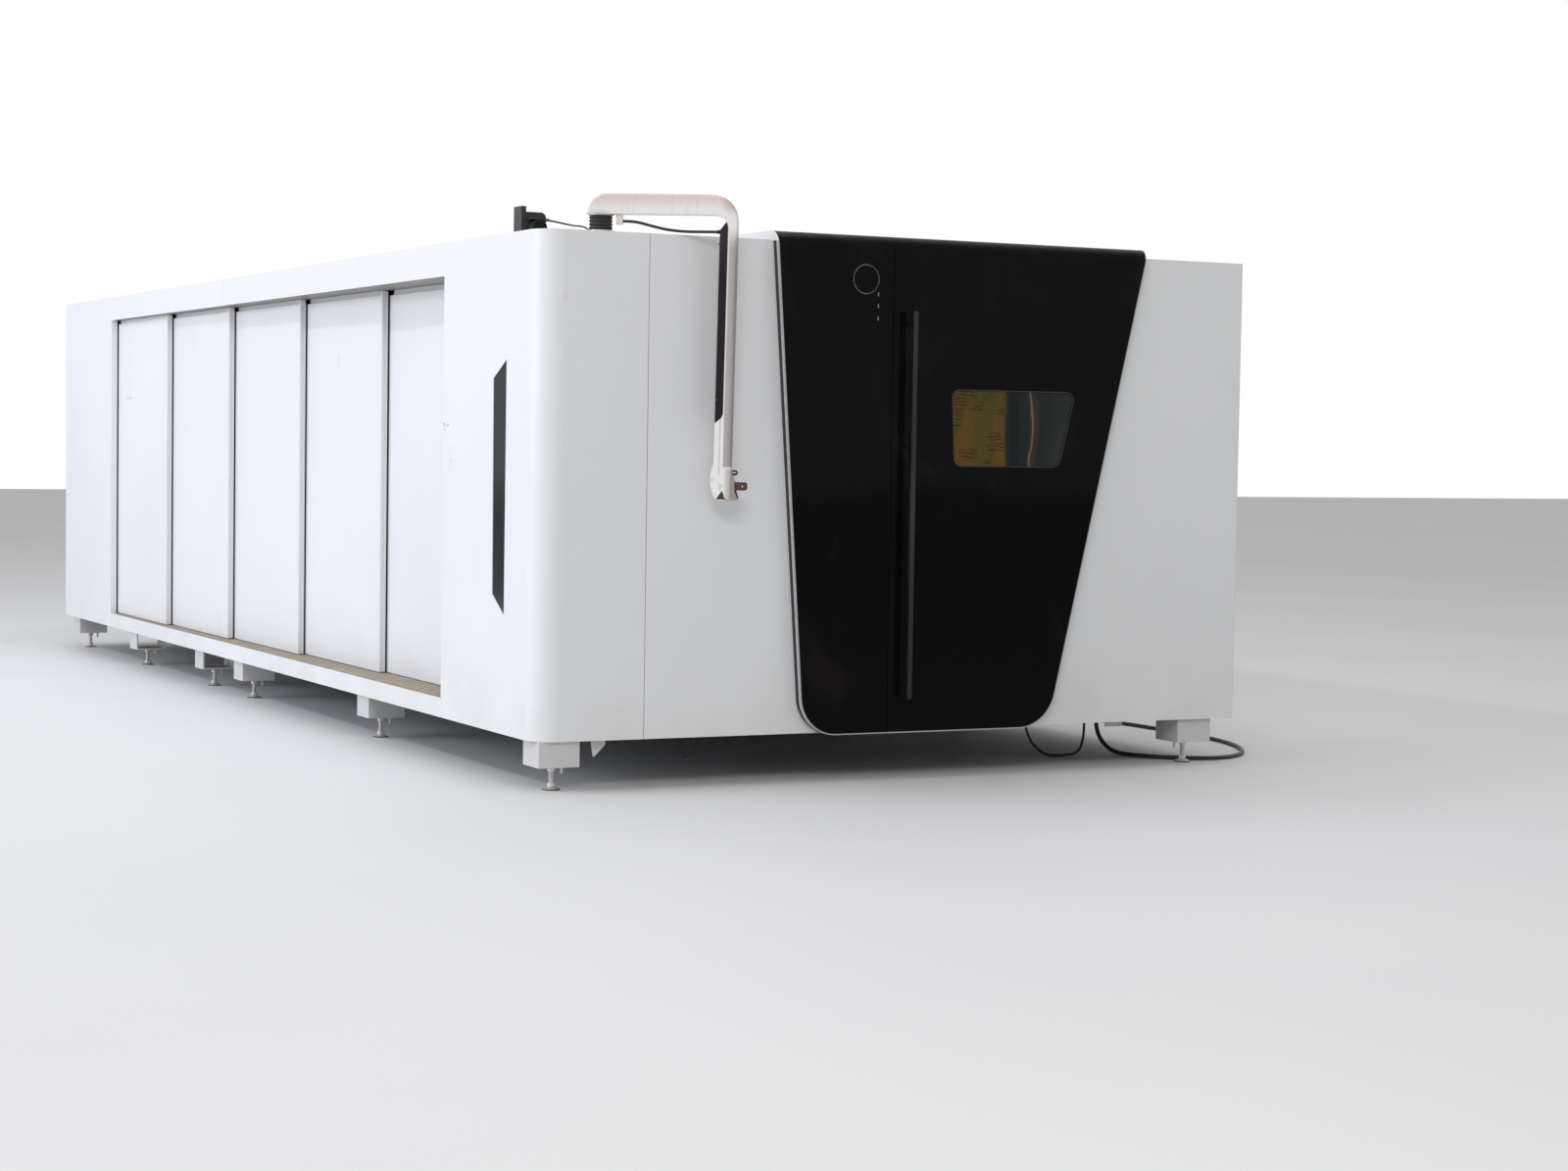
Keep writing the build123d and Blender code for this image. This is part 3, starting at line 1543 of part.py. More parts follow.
# Five-pole plug on the cable's end: tapered relief, body and shroud
plug_x, plug_y, plug_z = from_faces(tail_route)[-1]
with BuildPart() as supply_plug:
    with BuildSketch(Plane.XZ.offset(-plug_y)):
        with BuildLine():
            Polyline(
                (plug_x, plug_z),
                (plug_x, plug_z + 0.7 * supply_diameter),
                (plug_x - plug_relief, plug_z + supply_diameter),
                (plug_x - plug_collar, plug_z + plug_radius - plug_step),
                (plug_x - plug_grip, plug_z + plug_radius - plug_step),
                (plug_x - plug_grip, plug_z + plug_radius),
                (plug_x - plug_length, plug_z + plug_radius),
                (plug_x - plug_length, plug_z + plug_radius - plug_wall),
                (plug_x - plug_length + plug_socket_depth, plug_z + plug_radius - plug_wall),
                (plug_x - plug_length + plug_socket_depth, plug_z),
                close=True,
            )
        make_face()
    revolve(axis=Axis((0, plug_y, plug_z), (1, 0, 0)))
save(supply_plug.part, "supply_plug")
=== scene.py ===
"""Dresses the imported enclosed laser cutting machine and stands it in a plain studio."""
import json
import math
import bmesh
import bpy
from bpy.props import FloatProperty, FloatVectorProperty, PointerProperty
from mathutils import Matrix, Vector


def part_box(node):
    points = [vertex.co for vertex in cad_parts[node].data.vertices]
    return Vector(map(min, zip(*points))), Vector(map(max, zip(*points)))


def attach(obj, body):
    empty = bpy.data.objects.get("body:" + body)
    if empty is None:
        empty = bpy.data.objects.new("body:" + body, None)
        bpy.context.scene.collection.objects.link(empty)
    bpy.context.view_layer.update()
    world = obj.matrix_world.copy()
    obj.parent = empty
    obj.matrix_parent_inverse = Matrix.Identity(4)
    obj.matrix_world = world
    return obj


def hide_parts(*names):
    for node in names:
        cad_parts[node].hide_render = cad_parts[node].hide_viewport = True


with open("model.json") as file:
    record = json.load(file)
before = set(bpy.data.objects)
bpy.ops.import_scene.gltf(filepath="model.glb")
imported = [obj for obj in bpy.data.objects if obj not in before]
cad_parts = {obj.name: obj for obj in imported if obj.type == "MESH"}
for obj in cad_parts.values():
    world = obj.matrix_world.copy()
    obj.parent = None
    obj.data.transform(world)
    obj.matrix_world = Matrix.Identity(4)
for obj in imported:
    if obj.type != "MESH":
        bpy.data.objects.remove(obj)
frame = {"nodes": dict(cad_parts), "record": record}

bl_info = {
    "name": "Laser cutting machine dressing",
    "version": (1, 0, 0),
    "blender": (4, 5, 0),
    "location": "3D View > Sidebar > Machine",
    "description": "Coats, trims and furnishes the enclosed laser cutting machine",
    "category": "Object",
}

# Places on the casing are measured from its left face, its front face and the floor.
CASING_LEFT = -0.120
CASING_FRONT = -0.110
CASE_WIDTH = 3.470
CASE_TOP = 2.300


def at_casing(x, y, z):
    """A point given from the casing's left face, front face and the floor, in the row frame."""
    return Vector((CASING_LEFT + x, CASING_FRONT + y, z))


def casing_box(node):
    """A node's lowest and highest corners, measured on the casing."""
    return [corner - at_casing(0, 0, 0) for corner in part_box(node)]


# Sizes and colours to change


class CameraSettings(bpy.types.PropertyGroup):
    """Where the photographer stands and the lens in use."""

    place: FloatVectorProperty(
        name="Place", description="The camera's place in the machine's frame",
        default=(-4.37637304, -10.7723218, 1.44945098), subtype="TRANSLATION", unit="LENGTH")
    heading: FloatProperty(
        name="Heading", description="Turn to the right of the machine's long axis",
        default=0.467729108, subtype="ANGLE", unit="ROTATION")
    dip: FloatProperty(
        name="Dip", description="How far the lens looks below the horizon",
        default=0.0507767699, subtype="ANGLE", unit="ROTATION")
    roll: FloatProperty(
        name="Roll", description="Lean of the horizon",
        default=0.0156233611, subtype="ANGLE", unit="ROTATION")
    lens: FloatProperty(
        name="Lens", description="Focal length on a 36 mm wide sensor", default=64.705, unit="CAMERA")


class CordSettings(bpy.types.PropertyGroup):
    """Thickness of the free cords."""

    supply: FloatProperty(
        name="Supply cable", description="Diameter of the mains supply cable",
        default=0.020, unit="LENGTH")
    hose: FloatProperty(
        name="Air hose", description="Diameter of the air hose under the front", default=0.012, unit="LENGTH")
    camera: FloatProperty(
        name="Camera cord", description="Diameter of the roof camera's cord", default=0.008, unit="LENGTH")
    console: FloatProperty(
        name="Console cord", description="Diameter of the cord along the swing arm",
        default=0.012, unit="LENGTH")


class FinishSettings(bpy.types.PropertyGroup):
    """Colours of the machine's coats and materials."""

    white_panel: FloatVectorProperty(
        name="Sheet coat", description="White coat on the casing's sheets", default=(0.80, 0.81, 0.82),
        subtype="COLOR", min=0, max=1)
    black_fascia: FloatVectorProperty(
        name="Fascia coat", description="Gloss black coat on the sliding door and the fixed leaf",
        default=(0.0035, 0.0034, 0.0042), subtype="COLOR", min=0, max=1)
    edge_trim: FloatVectorProperty(
        name="Edge trim", description="Bright trim round the black leaves", default=(0.62, 0.63, 0.64),
        subtype="COLOR", min=0, max=1)
    # Painted light: the amber of the lit inside seen through the door's pane
    amber_window: FloatVectorProperty(
        name="Amber pane", description="Lit part of the door's safety pane",
        default=(0.122, 0.066, 0.012), subtype="COLOR", min=0, max=1)
    dark_window: FloatVectorProperty(
        name="Smoked pane", description="Slot window in the left face", default=(0.012, 0.014, 0.016),
        subtype="COLOR", min=0, max=1)
    dark_metal: FloatVectorProperty(
        name="Dark metal", description="Door handle, locks and cabinet fittings",
        default=(0.035, 0.035, 0.038), subtype="COLOR", min=0, max=1)
    handle: FloatVectorProperty(
        name="Handle", description="Semi-gloss black on the long door handle", default=(0.012, 0.011, 0.012),
        subtype="COLOR", min=0, max=1)
    frame_paint: FloatVectorProperty(
        name="Frame paint", description="Paint on the bed, frames, beam and trays",
        default=(0.30, 0.31, 0.32), subtype="COLOR", min=0, max=1)
    foot_paint: FloatVectorProperty(
        name="Foot paint", description="Paint on the foot blocks", default=(0.62, 0.62, 0.61),
        subtype="COLOR", min=0, max=1)
    cabinet_paint: FloatVectorProperty(
        name="Cabinet paint", description="Paint on the control cabinet and the laser source",
        default=(0.55, 0.56, 0.55), subtype="COLOR", min=0, max=1)
    arm_paint: FloatVectorProperty(
        name="Arm", description="White swing arm in its film", default=(0.88, 0.86, 0.84),
        subtype="COLOR", min=0, max=1)
    bracket_paint: FloatVectorProperty(
        name="Bracket", description="Brown paint on the console's bracket", default=(0.060, 0.032, 0.024),
        subtype="COLOR", min=0, max=1)
    cord_rubber: FloatVectorProperty(
        name="Cord rubber", description="Rubber of the free cords", default=(0.018, 0.018, 0.019),
        subtype="COLOR", min=0, max=1)


GROUPS = [
    ("cutter_camera", CameraSettings),
    ("cutter_cords", CordSettings),
    ("cutter_finishes", FinishSettings),
]

# Helpers


def keep(obj, body="casing", material=None):
    """Links a finished piece, dresses it and lets it ride on a body."""
    bpy.context.scene.collection.objects.link(obj)
    if material is not None:
        obj.data.materials.append(material)
    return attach(obj, body)


def route_curve(name, points, diameter, body, material):
    """A round cord along one smooth open spline that its control points shape."""
    curve = bpy.data.curves.new(name, "CURVE")
    curve.dimensions = "3D"
    curve.bevel_depth = diameter / 2
    curve.bevel_resolution = 4
    curve.resolution_u = 8
    curve.use_fill_caps = True
    spline = curve.splines.new("NURBS")
    spline.points.add(len(points) - 1)
    for knot, point in zip(spline.points, points):
        knot.co = (*point, 1)
    spline.order_u = 3
    spline.use_endpoint_u = True
    return keep(bpy.data.objects.new(name, curve), body, material)


# Routes and places

SUPPLY_ROUTE = [
    (3.080, 0.560, 0.184), (3.080, 0.560, 0.124), (3.092, 0.522, 0.052), (3.122, 0.452, 0.010),
    (3.160, 0.340, 0.010), (3.235, 0.215, 0.010), (3.370, 0.125, 0.010), (3.535, 0.115, 0.010),
    (3.700, 0.235, 0.010), (3.835, 0.430, 0.010), (3.925, 0.670, 0.010), (3.968, 0.940, 0.010),
    (3.974, 1.225, 0.010), (3.966, 1.515, 0.010), (3.945, 1.790, 0.010), (3.922, 2.040, 0.010),
    (3.914, 2.220, 0.010), (3.918, 2.360, 0.010), (3.936, 2.460, 0.010),
]
HOSE_ROUTE = [
    (2.690, 0.560, 0.184), (2.690, 0.560, 0.136), (2.700, 0.545, 0.088), (2.722, 0.522, 0.042),
    (2.768, 0.494, 0.006), (2.838, 0.476, 0.006), (2.908, 0.484, 0.007), (2.962, 0.510, 0.026),
    (2.997, 0.538, 0.070), (3.016, 0.560, 0.126), (3.016, 0.560, 0.184),
]
CAMERA_ROUTE = [
    (0.310, 0.754, 2.392), (0.334, 0.754, 2.392), (0.362, 0.749, 2.389), (0.386, 0.724, 2.382),
    (0.397, 0.680, 2.3735), (0.396, 0.624, 2.366), (0.387, 0.564, 2.360), (0.373, 0.504, 2.3545),
    (0.361, 0.444, 2.350), (0.351, 0.384, 2.343), (0.346, 0.334, 2.333), (0.346, 0.298, 2.318),
    (0.351, 0.264, 2.304), (0.358, 0.230, 2.304),
]
CONSOLE_ROUTE = [
    (0.48417, 2.312), (0.430, 2.312), (0.350, 2.3115), (0.272, 2.319), (0.202, 2.336),
    (0.142, 2.352), (0.092, 2.352),
]
COIL_CENTRE = (3.790, 2.520)
COIL_CELLS = [
    (3, 0), (2, 0), (1, 0), (0, 0), (0, 1), (0, 2), (1, 2), (1, 1), (2, 1), (2, 2), (3, 2), (3, 1),
]
COIL_RADIUS = 0.118
# Spacing of the coil's turns in cord diameters, and the share of a turn after which it changes its cell
COIL_PACKING = 1.06
CELL_CHANGE = 0.8
TURN_POINTS = 16
PLUG_TAIL = [(3.738, 2.675, 0.034), (3.680, 2.675, 0.034), (3.622, 2.675, 0.034)]
ARM_POST = (0.330, 0.150)
ARM_HEADING = math.radians(-30)
ARM_LEAN = math.tan(math.radians(0.8))
ARM_REACH = 0.571


def along_arm(reach, level, side=0.0):
    """A point in the swing arm's own upright plane, side measured to its right-hand face."""
    forward = Vector((math.cos(ARM_HEADING), math.sin(ARM_HEADING), 0))
    across = Vector((-math.sin(ARM_HEADING), math.cos(ARM_HEADING), 0))
    return at_casing(*ARM_POST, 0) + forward * reach - across * side + Vector((0, 0, level))


def coil_points(diameter):
    """The put-away turns, one ring of control points for each cell of the bundle's section."""
    pitch = diameter * COIL_PACKING
    points = []
    turns = len(COIL_CELLS)
    steps = turns * TURN_POINTS + TURN_POINTS // 4 + 1
    for step in range(1, steps):
        turn, share = divmod(step / TURN_POINTS, 1)
        here = COIL_CELLS[min(int(turn), turns - 1)]
        after = COIL_CELLS[min(int(turn) + 1, turns - 1)]
        move = max(0.0, (share - CELL_CHANGE) / (1 - CELL_CHANGE))
        column = here[0] + (after[0] - here[0]) * move
        layer = here[1] + (after[1] - here[1]) * move
        radius = COIL_RADIUS + pitch * (column - 1.5)
        angle = math.tau * step / TURN_POINTS
        outside = radius / math.cos(math.pi / TURN_POINTS)
        points.append((
            COIL_CENTRE[0] + outside * math.cos(angle), COIL_CENTRE[1] + outside * math.sin(angle),
            diameter / 2 + pitch * layer))
    return points


# Directions along the machine's axes
UP = (0, 0, 1)
DOWN = (0, 0, -1)
FRONTWARD = (0, -1, 0)
LEFTWARD = (-1, 0, 0)
RIGHTWARD = (1, 0, 0)

# Plug, coil ties and what rides on the supply cable
PLUG_END = PLUG_TAIL[-1]
PLUG_PINS = 5
PLUG_FACE = 0.108
PIN_CIRCLE = 0.016
# Start, spacing and count of the plug's ribs
RIB_STATIONS = (0.060, 0.0065, 7)
RELIEF_BORE = 0.0101
RELIEF_LENGTH = 0.045
RELIEF_RINGS = 5
COIL_TIES = 3
FIRST_TIE = math.radians(25)
STRAP_HALF = 0.010
STRAP_THICK = 0.0012
STRAP_CORNER = 0.010
# Nearest and farthest reach of a strap from the coil's axis, its heights, and the bundle's middle
STRAP_REACH = (0.0730, 0.1640)
STRAP_HEIGHTS = (0.0012, 0.0655)
BUNDLE_MIDDLE = 0.033

# Centres and half widths of the marks that the coats show
NICKS = [((0, 1.108, 1.505), (0.02, 0.020, 0.010)), ((0, 1.060, 1.500), (0.02, 0.030, 0.007)),
         ((0, 1.096, 1.480), (0.02, 0.010, 0.014))]
SMUDGE = ((0, 1.018, 1.355), (0.02, 0.050, 0.075))
DENT = ((0.106, 0, 2.037), (0.025, 0.03, 0.030))
PANEL_4_MARKS = [((0.165, 3.123, 1.822), (0.02, 0.016, 0.060))]
PANEL_1_MARKS = [((0.045, 6.995, 1.660), (0.02, 0.130, 0.012))]

# The finish of each material slot, filled when the finishes are mixed
FINISHES = {}

# Finishes

# Heights of a face's unit normal where the mask is 0 and where it is 1: looking up, and looking down
UPWARD = (0.5, 0.95)
DOWNWARD = (-0.5, -0.95)


def shade(colour, share):
    """The same colour, lighter or darker."""
    return tuple(part * share for part in colour)


class Finish:
    """A finish being mixed: one node material, read in the machine's own coordinates."""

    def __init__(self, name, colour, roughness, metallic=0.0, specular=0.5):
        self.material = bpy.data.materials.new(name)
        self.material.use_nodes = True
        self.material.diffuse_color = (*colour, 1)
        self.tree = self.material.node_tree
        self.shader = self.tree.nodes["Principled BSDF"]
        settings = {"Base Color": (*colour, 1), "Roughness": roughness, "Metallic": metallic,
                    "Specular IOR Level": specular}
        for socket, value in settings.items():
            self.shader.inputs[socket].default_value = value
        self.place = self.node("ShaderNodeTexCoord").outputs["Object"]

    def node(self, kind, **settings):
        """A new node with its settings."""
        made = self.tree.nodes.new(kind)
        for key, value in settings.items():
            setattr(made, key, value)
        return made

    def feed(self, socket, value):
        """Links a socket, or sets a number or colour, on an input."""
        if isinstance(value, bpy.types.NodeSocket):
            self.tree.links.new(value, socket)
        else:
            socket.default_value = value

    def sum(self, operation, *values):
        """One step of arithmetic on masks."""
        made = self.node("ShaderNodeMath", operation=operation)
        for socket, value in zip(made.inputs, values):
            self.feed(socket, value)
        return made.outputs["Value"]

    def both(self, mask, other):
        """A mask where two masks meet."""
        return self.sum("MULTIPLY", mask, other)

    def vector(self, operation, value, other=None):
        """One step of arithmetic on places or directions."""
        made = self.node("ShaderNodeVectorMath", operation=operation)
        self.feed(made.inputs[0], value)
        if other is not None:
            self.feed(made.inputs[1], other)
        return made.outputs["Value" if operation in ("LENGTH", "DOT_PRODUCT") else "Vector"]

    def cloud(self, size, detail=3.0, stretch=(1, 1, 1), warp=0.0):
        """Soft noise with spots of about one size, from 0 to 1."""
        noise = self.node("ShaderNodeTexNoise")
        self.feed(noise.inputs["Vector"], self.vector("MULTIPLY", self.place, stretch))
        noise.inputs["Scale"].default_value = 1 / size
        noise.inputs["Detail"].default_value = detail
        noise.inputs["Distortion"].default_value = warp
        return noise.outputs["Fac"]

    def step(self, value, low, high):
        """0 where the value is at low and 1 at high, smooth between them."""
        ramp = self.node("ShaderNodeMapRange", interpolation_type="SMOOTHSTEP")
        self.feed(ramp.inputs["Value"], value)
        ramp.inputs["From Min"].default_value = low
        ramp.inputs["From Max"].default_value = high
        return ramp.outputs["Result"]

    def patches(self, low, high, size, detail=3.0, stretch=(1, 1, 1), warp=0.0):
        """Soft-edged patches: 0 where the noise is under low and 1 where it is over high."""
        return self.step(self.cloud(size, detail, stretch, warp), low, high)

    def split(self, vector, axis):
        """X, Y or Z of a place or direction."""
        parts = self.node("ShaderNodeSeparateXYZ")
        self.feed(parts.inputs["Vector"], vector)
        return parts.outputs[axis]

    def axis(self, name):
        """Distance along X, Y or Z in the machine's frame."""
        return self.split(self.place, name)

    def normal(self):
        """The direction that the surface looks in."""
        return self.node("ShaderNodeNewGeometry").outputs["Normal"]

    def facing(self, low, high):
        """1 on faces whose normal stands as high as the second number says, 0 at the first."""
        return self.step(self.split(self.normal(), "Z"), low, high)

    def dusty(self, size):
        """Uneven dust on faces that look up."""
        return self.both(self.facing(*UPWARD), self.cloud(size, 6))

    def near(self, centre, reach):
        """1 at a point, 0 from an ellipsoid of the given half widths outwards."""
        offset = self.vector("SUBTRACT", self.place, at_casing(*centre))
        return self.step(self.vector("LENGTH", self.vector("DIVIDE", offset, reach)), 1.0, 0.35)

    def blend(self, kind, target, mask, value):
        """Mixes a value into one of the shader's inputs where the mask says."""
        mix = self.node("ShaderNodeMix", data_type=kind)
        base = self.shader.inputs[target]
        self.feed(mix.inputs["A"], base.links[0].from_socket if base.is_linked else base.default_value)
        self.feed(mix.inputs["B"], value)
        self.feed(mix.inputs["Factor"], mask)
        self.feed(base, mix.outputs["Result"])

    def paint(self, mask, colour, amount=1.0):
        """Lays a second colour over the first where the mask says."""
        self.blend("RGBA", "Base Color", mask if amount == 1.0 else self.both(mask, amount), (*colour, 1))

    def dull(self, mask, roughness):
        """Changes the roughness where the mask says."""
        self.blend("FLOAT", "Roughness", mask, roughness)

    def relief(self, height, depth, strength=1.0):
        """Adds bumps of the given depth to the surface."""
        bump = self.node("ShaderNodeBump")
        bump.inputs["Distance"].default_value = depth
        bump.inputs["Strength"].default_value = strength
        self.feed(bump.inputs["Height"], height)
        normal = self.shader.inputs["Normal"]
        if normal.is_linked:
            self.feed(bump.inputs["Normal"], normal.links[0].from_socket)
        self.feed(normal, bump.outputs["Normal"])

    def inside_drop(self):
        """Distance in from the outer face of the arm's hanging part, in metres."""
        heading = Vector((math.cos(ARM_HEADING), math.sin(ARM_HEADING), -ARM_LEAN))
        face = heading.dot(at_casing(*ARM_POST, 0)) + ARM_REACH - ARM_LEAN * CASE_TOP
        return self.sum("SUBTRACT", face, self.vector("DOT_PRODUCT", self.place, heading))

    def edges(self, radius):
        """1 along edges that get knocked and rubbed, broken up by noise."""
        bevel = self.node("ShaderNodeBevel", samples=4)
        bevel.inputs["Radius"].default_value = radius
        turned = self.vector("DOT_PRODUCT", bevel.outputs["Normal"], self.normal())
        return self.both(self.step(turned, 0.995, 0.93), self.patches(0.42, 0.6, 0.02))


SPLASHED_DUST = (0.56, 0.52, 0.46)
HAND_GREY = (0.55, 0.55, 0.55)
SETTLED_DUST = (0.42, 0.37, 0.31)


def white_coat(name, colour):
    """Satin powder coat on thin sheet: orange peel, slow ripples, floor dust and faint hand marks."""
    coat = Finish(name, colour, 0.36)
    coat.paint(coat.patches(0.35, 0.7, 1.3), shade(colour, 0.965), 0.8)
    patchy = coat.patches(0.3, 0.75, 0.3, 5)
    low = coat.both(coat.step(coat.axis("Z"), 0.62, 0.2), patchy)
    coat.paint(low, SPLASHED_DUST, 0.22)
    coat.paint(coat.patches(0.66, 0.8, 0.11, 6, warp=0.6), HAND_GREY, 0.10)
    coat.paint(coat.dusty(0.2), SETTLED_DUST, 0.55)
    coat.dull(coat.patches(0.4, 0.75, 0.25, 5), 0.47)
    coat.relief(coat.cloud(0.55, 1), 0.0040, 0.35)
    coat.relief(coat.cloud(0.0035, 2), 0.00015, 0.5)
    return coat


NICK_GREY = (0.12, 0.12, 0.12)
SMUDGE_GREY = (0.5, 0.51, 0.53)


def marked_cover(colour):
    """The corner cover's coat, with the nick, the rubbed smudge and the dent by its edge."""
    coat = white_coat("white powder coat with a nick", colour)
    rough = coat.patches(0.42, 0.56, 0.012, 5)
    for centre, reach in NICKS:
        coat.paint(coat.both(coat.near(centre, reach), rough), NICK_GREY, 0.85)
    coat.paint(coat.both(coat.near(*SMUDGE), coat.patches(0.35, 0.65, 0.035, 6)), SMUDGE_GREY, 0.4)
    coat.relief(coat.near(*DENT), 0.003)
    return coat


SCRATCH_GREY = (0.4, 0.4, 0.41)


def scratched_panel(name, colour, marks):
    """A panel's coat with its own fine scratches."""
    coat = white_coat(name, colour)
    for centre, reach in marks:
        lines = coat.patches(0.4, 0.6, 0.01, 4, (1, 1, 0.15))
        coat.paint(coat.both(coat.near(centre, reach), lines), SCRATCH_GREY, 0.75)
    return coat


SPECKS = (0.09, 0.085, 0.08)
WIPED_BROWN = (0.016, 0.011, 0.010)
GLOSS_DUST = (0.16, 0.145, 0.13)


def black_gloss(name, colour):
    """Deep gloss black coat: slow waves in the sheet, wipe marks and settled dust."""
    coat = Finish(name, colour, 0.05, specular=0.05)
    coat.paint(coat.patches(0.68, 0.8, 0.0022, 2), SPECKS, 0.16)
    smear = coat.patches(0.52, 0.75, 0.35, 4, (1, 1, 0.5), 0.9)
    coat.paint(smear, WIPED_BROWN, 0.55)
    coat.dull(coat.patches(0.55, 0.8, 0.16, 6, (1, 1, 0.4), 0.8), 0.14)
    coat.relief(coat.cloud(0.42, 1), 0.0050, 0.30)
    coat.relief(coat.cloud(0.09, 2, (1, 1, 0.5)), 0.0006, 0.22)
    coat.paint(coat.dusty(0.05), GLOSS_DUST, 0.40)
    return coat


BLACK_BAND = (0.010, 0.010, 0.012)
WHITE_RETURN = (0.78, 0.79, 0.80)
WHITE_TOP = (0.80, 0.815, 0.83)
# Where the trim's colours start and end, from front to back and in height
BAND_START = (-0.1545, -0.1515)
BAND_END = (-0.1225, -0.1260)
LIP_END = (-0.1655, -0.1675)
RETURN_START = (-0.1230, -0.1205)
TOP_START = (2.292, 2.298)


def banded_trim(name, colour):
    """The leaves' edge trim: light front lip, black band behind it, white return over the roof."""
    trim = Finish(name, colour, 0.28, metallic=0.25, specular=0.4)
    trim.paint(trim.patches(0.4, 0.75, 0.05, 4), shade(colour, 0.8), 0.6)
    behind = trim.axis("Y")
    trim.paint(trim.both(trim.step(behind, *BAND_START), trim.step(behind, *BAND_END)), BLACK_BAND)
    trim.paint(trim.step(behind, *LIP_END), shade(colour, 0.55), 0.8)
    trim.paint(trim.step(behind, *RETURN_START), WHITE_RETURN)
    trim.paint(trim.step(trim.axis("Z"), *TOP_START), WHITE_TOP)
    trim.dull(trim.patches(0.4, 0.7, 0.02, 4), 0.42)
    trim.relief(trim.cloud(0.004, 2), 0.00012, 0.4)
    return trim


UNLIT_PANE = (0.016, 0.020, 0.020)
OLIVE = (0.088, 0.066, 0.013)
UPPER_OLIVE = (0.070, 0.058, 0.015)
RIPPLE_BROWN = (0.035, 0.022, 0.006)
SHADOW_BLACK = (0.010, 0.012, 0.013)
STRIPE_BROWN = (0.055, 0.032, 0.028)
THREAD_PALE = (0.20, 0.15, 0.12)
HAZE_GREY = (0.036, 0.042, 0.040)
# Where the pane's stripes fade in and out from left to right, and where its upper part starts
LIT_END = (2.142, 2.125)
OLIVE_SPAN = ((1.945, 1.965), (2.085, 2.065))
SHADOW_SPAN = ((2.142, 2.160), (2.20, 2.175))
STRIPE_SPAN = ((2.285, 2.268), (2.226, 2.240))
THREAD_SPAN = ((2.252, 2.248), (2.240, 2.244))
HAZE_START = (2.29, 2.40)
UPPER_START = (1.54, 1.64)


def amber_pane(name, colour):
    """Amber safety acrylic with painted light: amber where the lit inside shines through at the left, olive
    stretches with patches of heat ripple, dim to the right.
    """
    pane = Finish(name, UNLIT_PANE, 0.09, specular=0.10)
    wave = pane.node("ShaderNodeTexWave", wave_type="BANDS", bands_direction="Z")
    pane.feed(wave.inputs["Vector"], pane.place)
    for socket, value in {"Scale": 21, "Distortion": 6.0, "Detail": 2.0, "Detail Scale": 1.4}.items():
        wave.inputs[socket].default_value = value
    ripple = pane.step(wave.outputs["Fac"], 0.30, 0.85)
    bent = pane.sum("ADD", pane.axis("X"), pane.both(pane.cloud(0.25, 3, (1, 1, 0.6)), 0.12))

    def stripe(fade_in, fade_out):
        """A stripe between two soft edges."""
        return pane.both(pane.step(bent, *fade_in), pane.step(bent, *fade_out))

    # Painted light: the amber glow of the lit inside seen through the pane's left part; the unlit rest stays
    # dark
    lit = pane.step(bent, *LIT_END)
    pane.paint(lit, colour)
    pane.paint(stripe(*OLIVE_SPAN), OLIVE, 0.9)
    pane.paint(pane.both(lit, pane.step(pane.axis("Z"), *UPPER_START)), UPPER_OLIVE, 0.55)
    patch = pane.both(lit, pane.patches(0.46, 0.58, 0.10, 3, (1, 1, 1.3)))
    pane.paint(pane.both(patch, ripple), RIPPLE_BROWN, 0.85)
    pane.paint(stripe(*SHADOW_SPAN), SHADOW_BLACK)
    pane.paint(stripe(*STRIPE_SPAN), STRIPE_BROWN, 0.8)
    pane.paint(stripe(*THREAD_SPAN), THREAD_PALE, 0.8)
    pane.paint(pane.both(pane.step(bent, *HAZE_START), pane.cloud(0.10)), HAZE_GREY, 0.9)
    pane.relief(ripple, 0.0010, 0.2)
    return pane


SMOKE_GREY = (0.030, 0.034, 0.036)
CORNER_DUST = (0.12, 0.11, 0.095)


def dark_pane(name, colour):
    """Smoked pane, almost black, with dust in its lower corners."""
    pane = Finish(name, colour, 0.08, specular=0.05)
    pane.paint(pane.patches(0.5, 0.8, 0.12, 4, (1, 1, 0.3)), SMOKE_GREY, 0.8)
    pane.paint(pane.step(pane.axis("Z"), 0.85, 0.68), CORNER_DUST, 0.35)
    pane.relief(pane.cloud(0.2, 1), 0.002, 0.3)
    return pane


SHOP_DUST = (0.30, 0.25, 0.20)
RUBBED_PAINT = (0.30, 0.29, 0.28)


def painted_steel(name, colour, dust=0.35):
    """Workshop paint on welded steel, dusty above and rubbed at its edges."""
    coat = Finish(name, colour, 0.48)
    coat.paint(coat.patches(0.35, 0.7, 0.3, 5), shade(colour, 0.86), 0.7)
    coat.paint(coat.dusty(0.08), SHOP_DUST, dust * 1.6)
    coat.paint(coat.edges(0.003), RUBBED_PAINT, 0.55)
    coat.dull(coat.patches(0.4, 0.7, 0.06, 5), 0.62)
    coat.relief(coat.cloud(0.006, 3), 0.0003, 0.5)
    return coat


HELD_BROWN = (0.07, 0.055, 0.05)
RUBBED_BLACK = (0.10, 0.08, 0.075)
# Centre and half widths of the stretch that hands pull
HELD_PLACE = ((1.68, -0.10, 1.12), (0.06, 0.06, 0.35))


def handle_coat(name, colour):
    """Semi-gloss black on the door's long handle, rubbed where hands pull it."""
    coat = Finish(name, colour, 0.22, specular=0.35)
    held = coat.both(coat.near(*HELD_PLACE), coat.cloud(0.05, 5))
    coat.paint(held, HELD_BROWN, 0.6)
    coat.dull(held, 0.10)
    coat.paint(coat.edges(0.0015), RUBBED_BLACK, 0.7)
    coat.relief(coat.cloud(0.0016, 2), 0.00008, 0.4)
    return coat


METAL_DUST = (0.28, 0.24, 0.19)


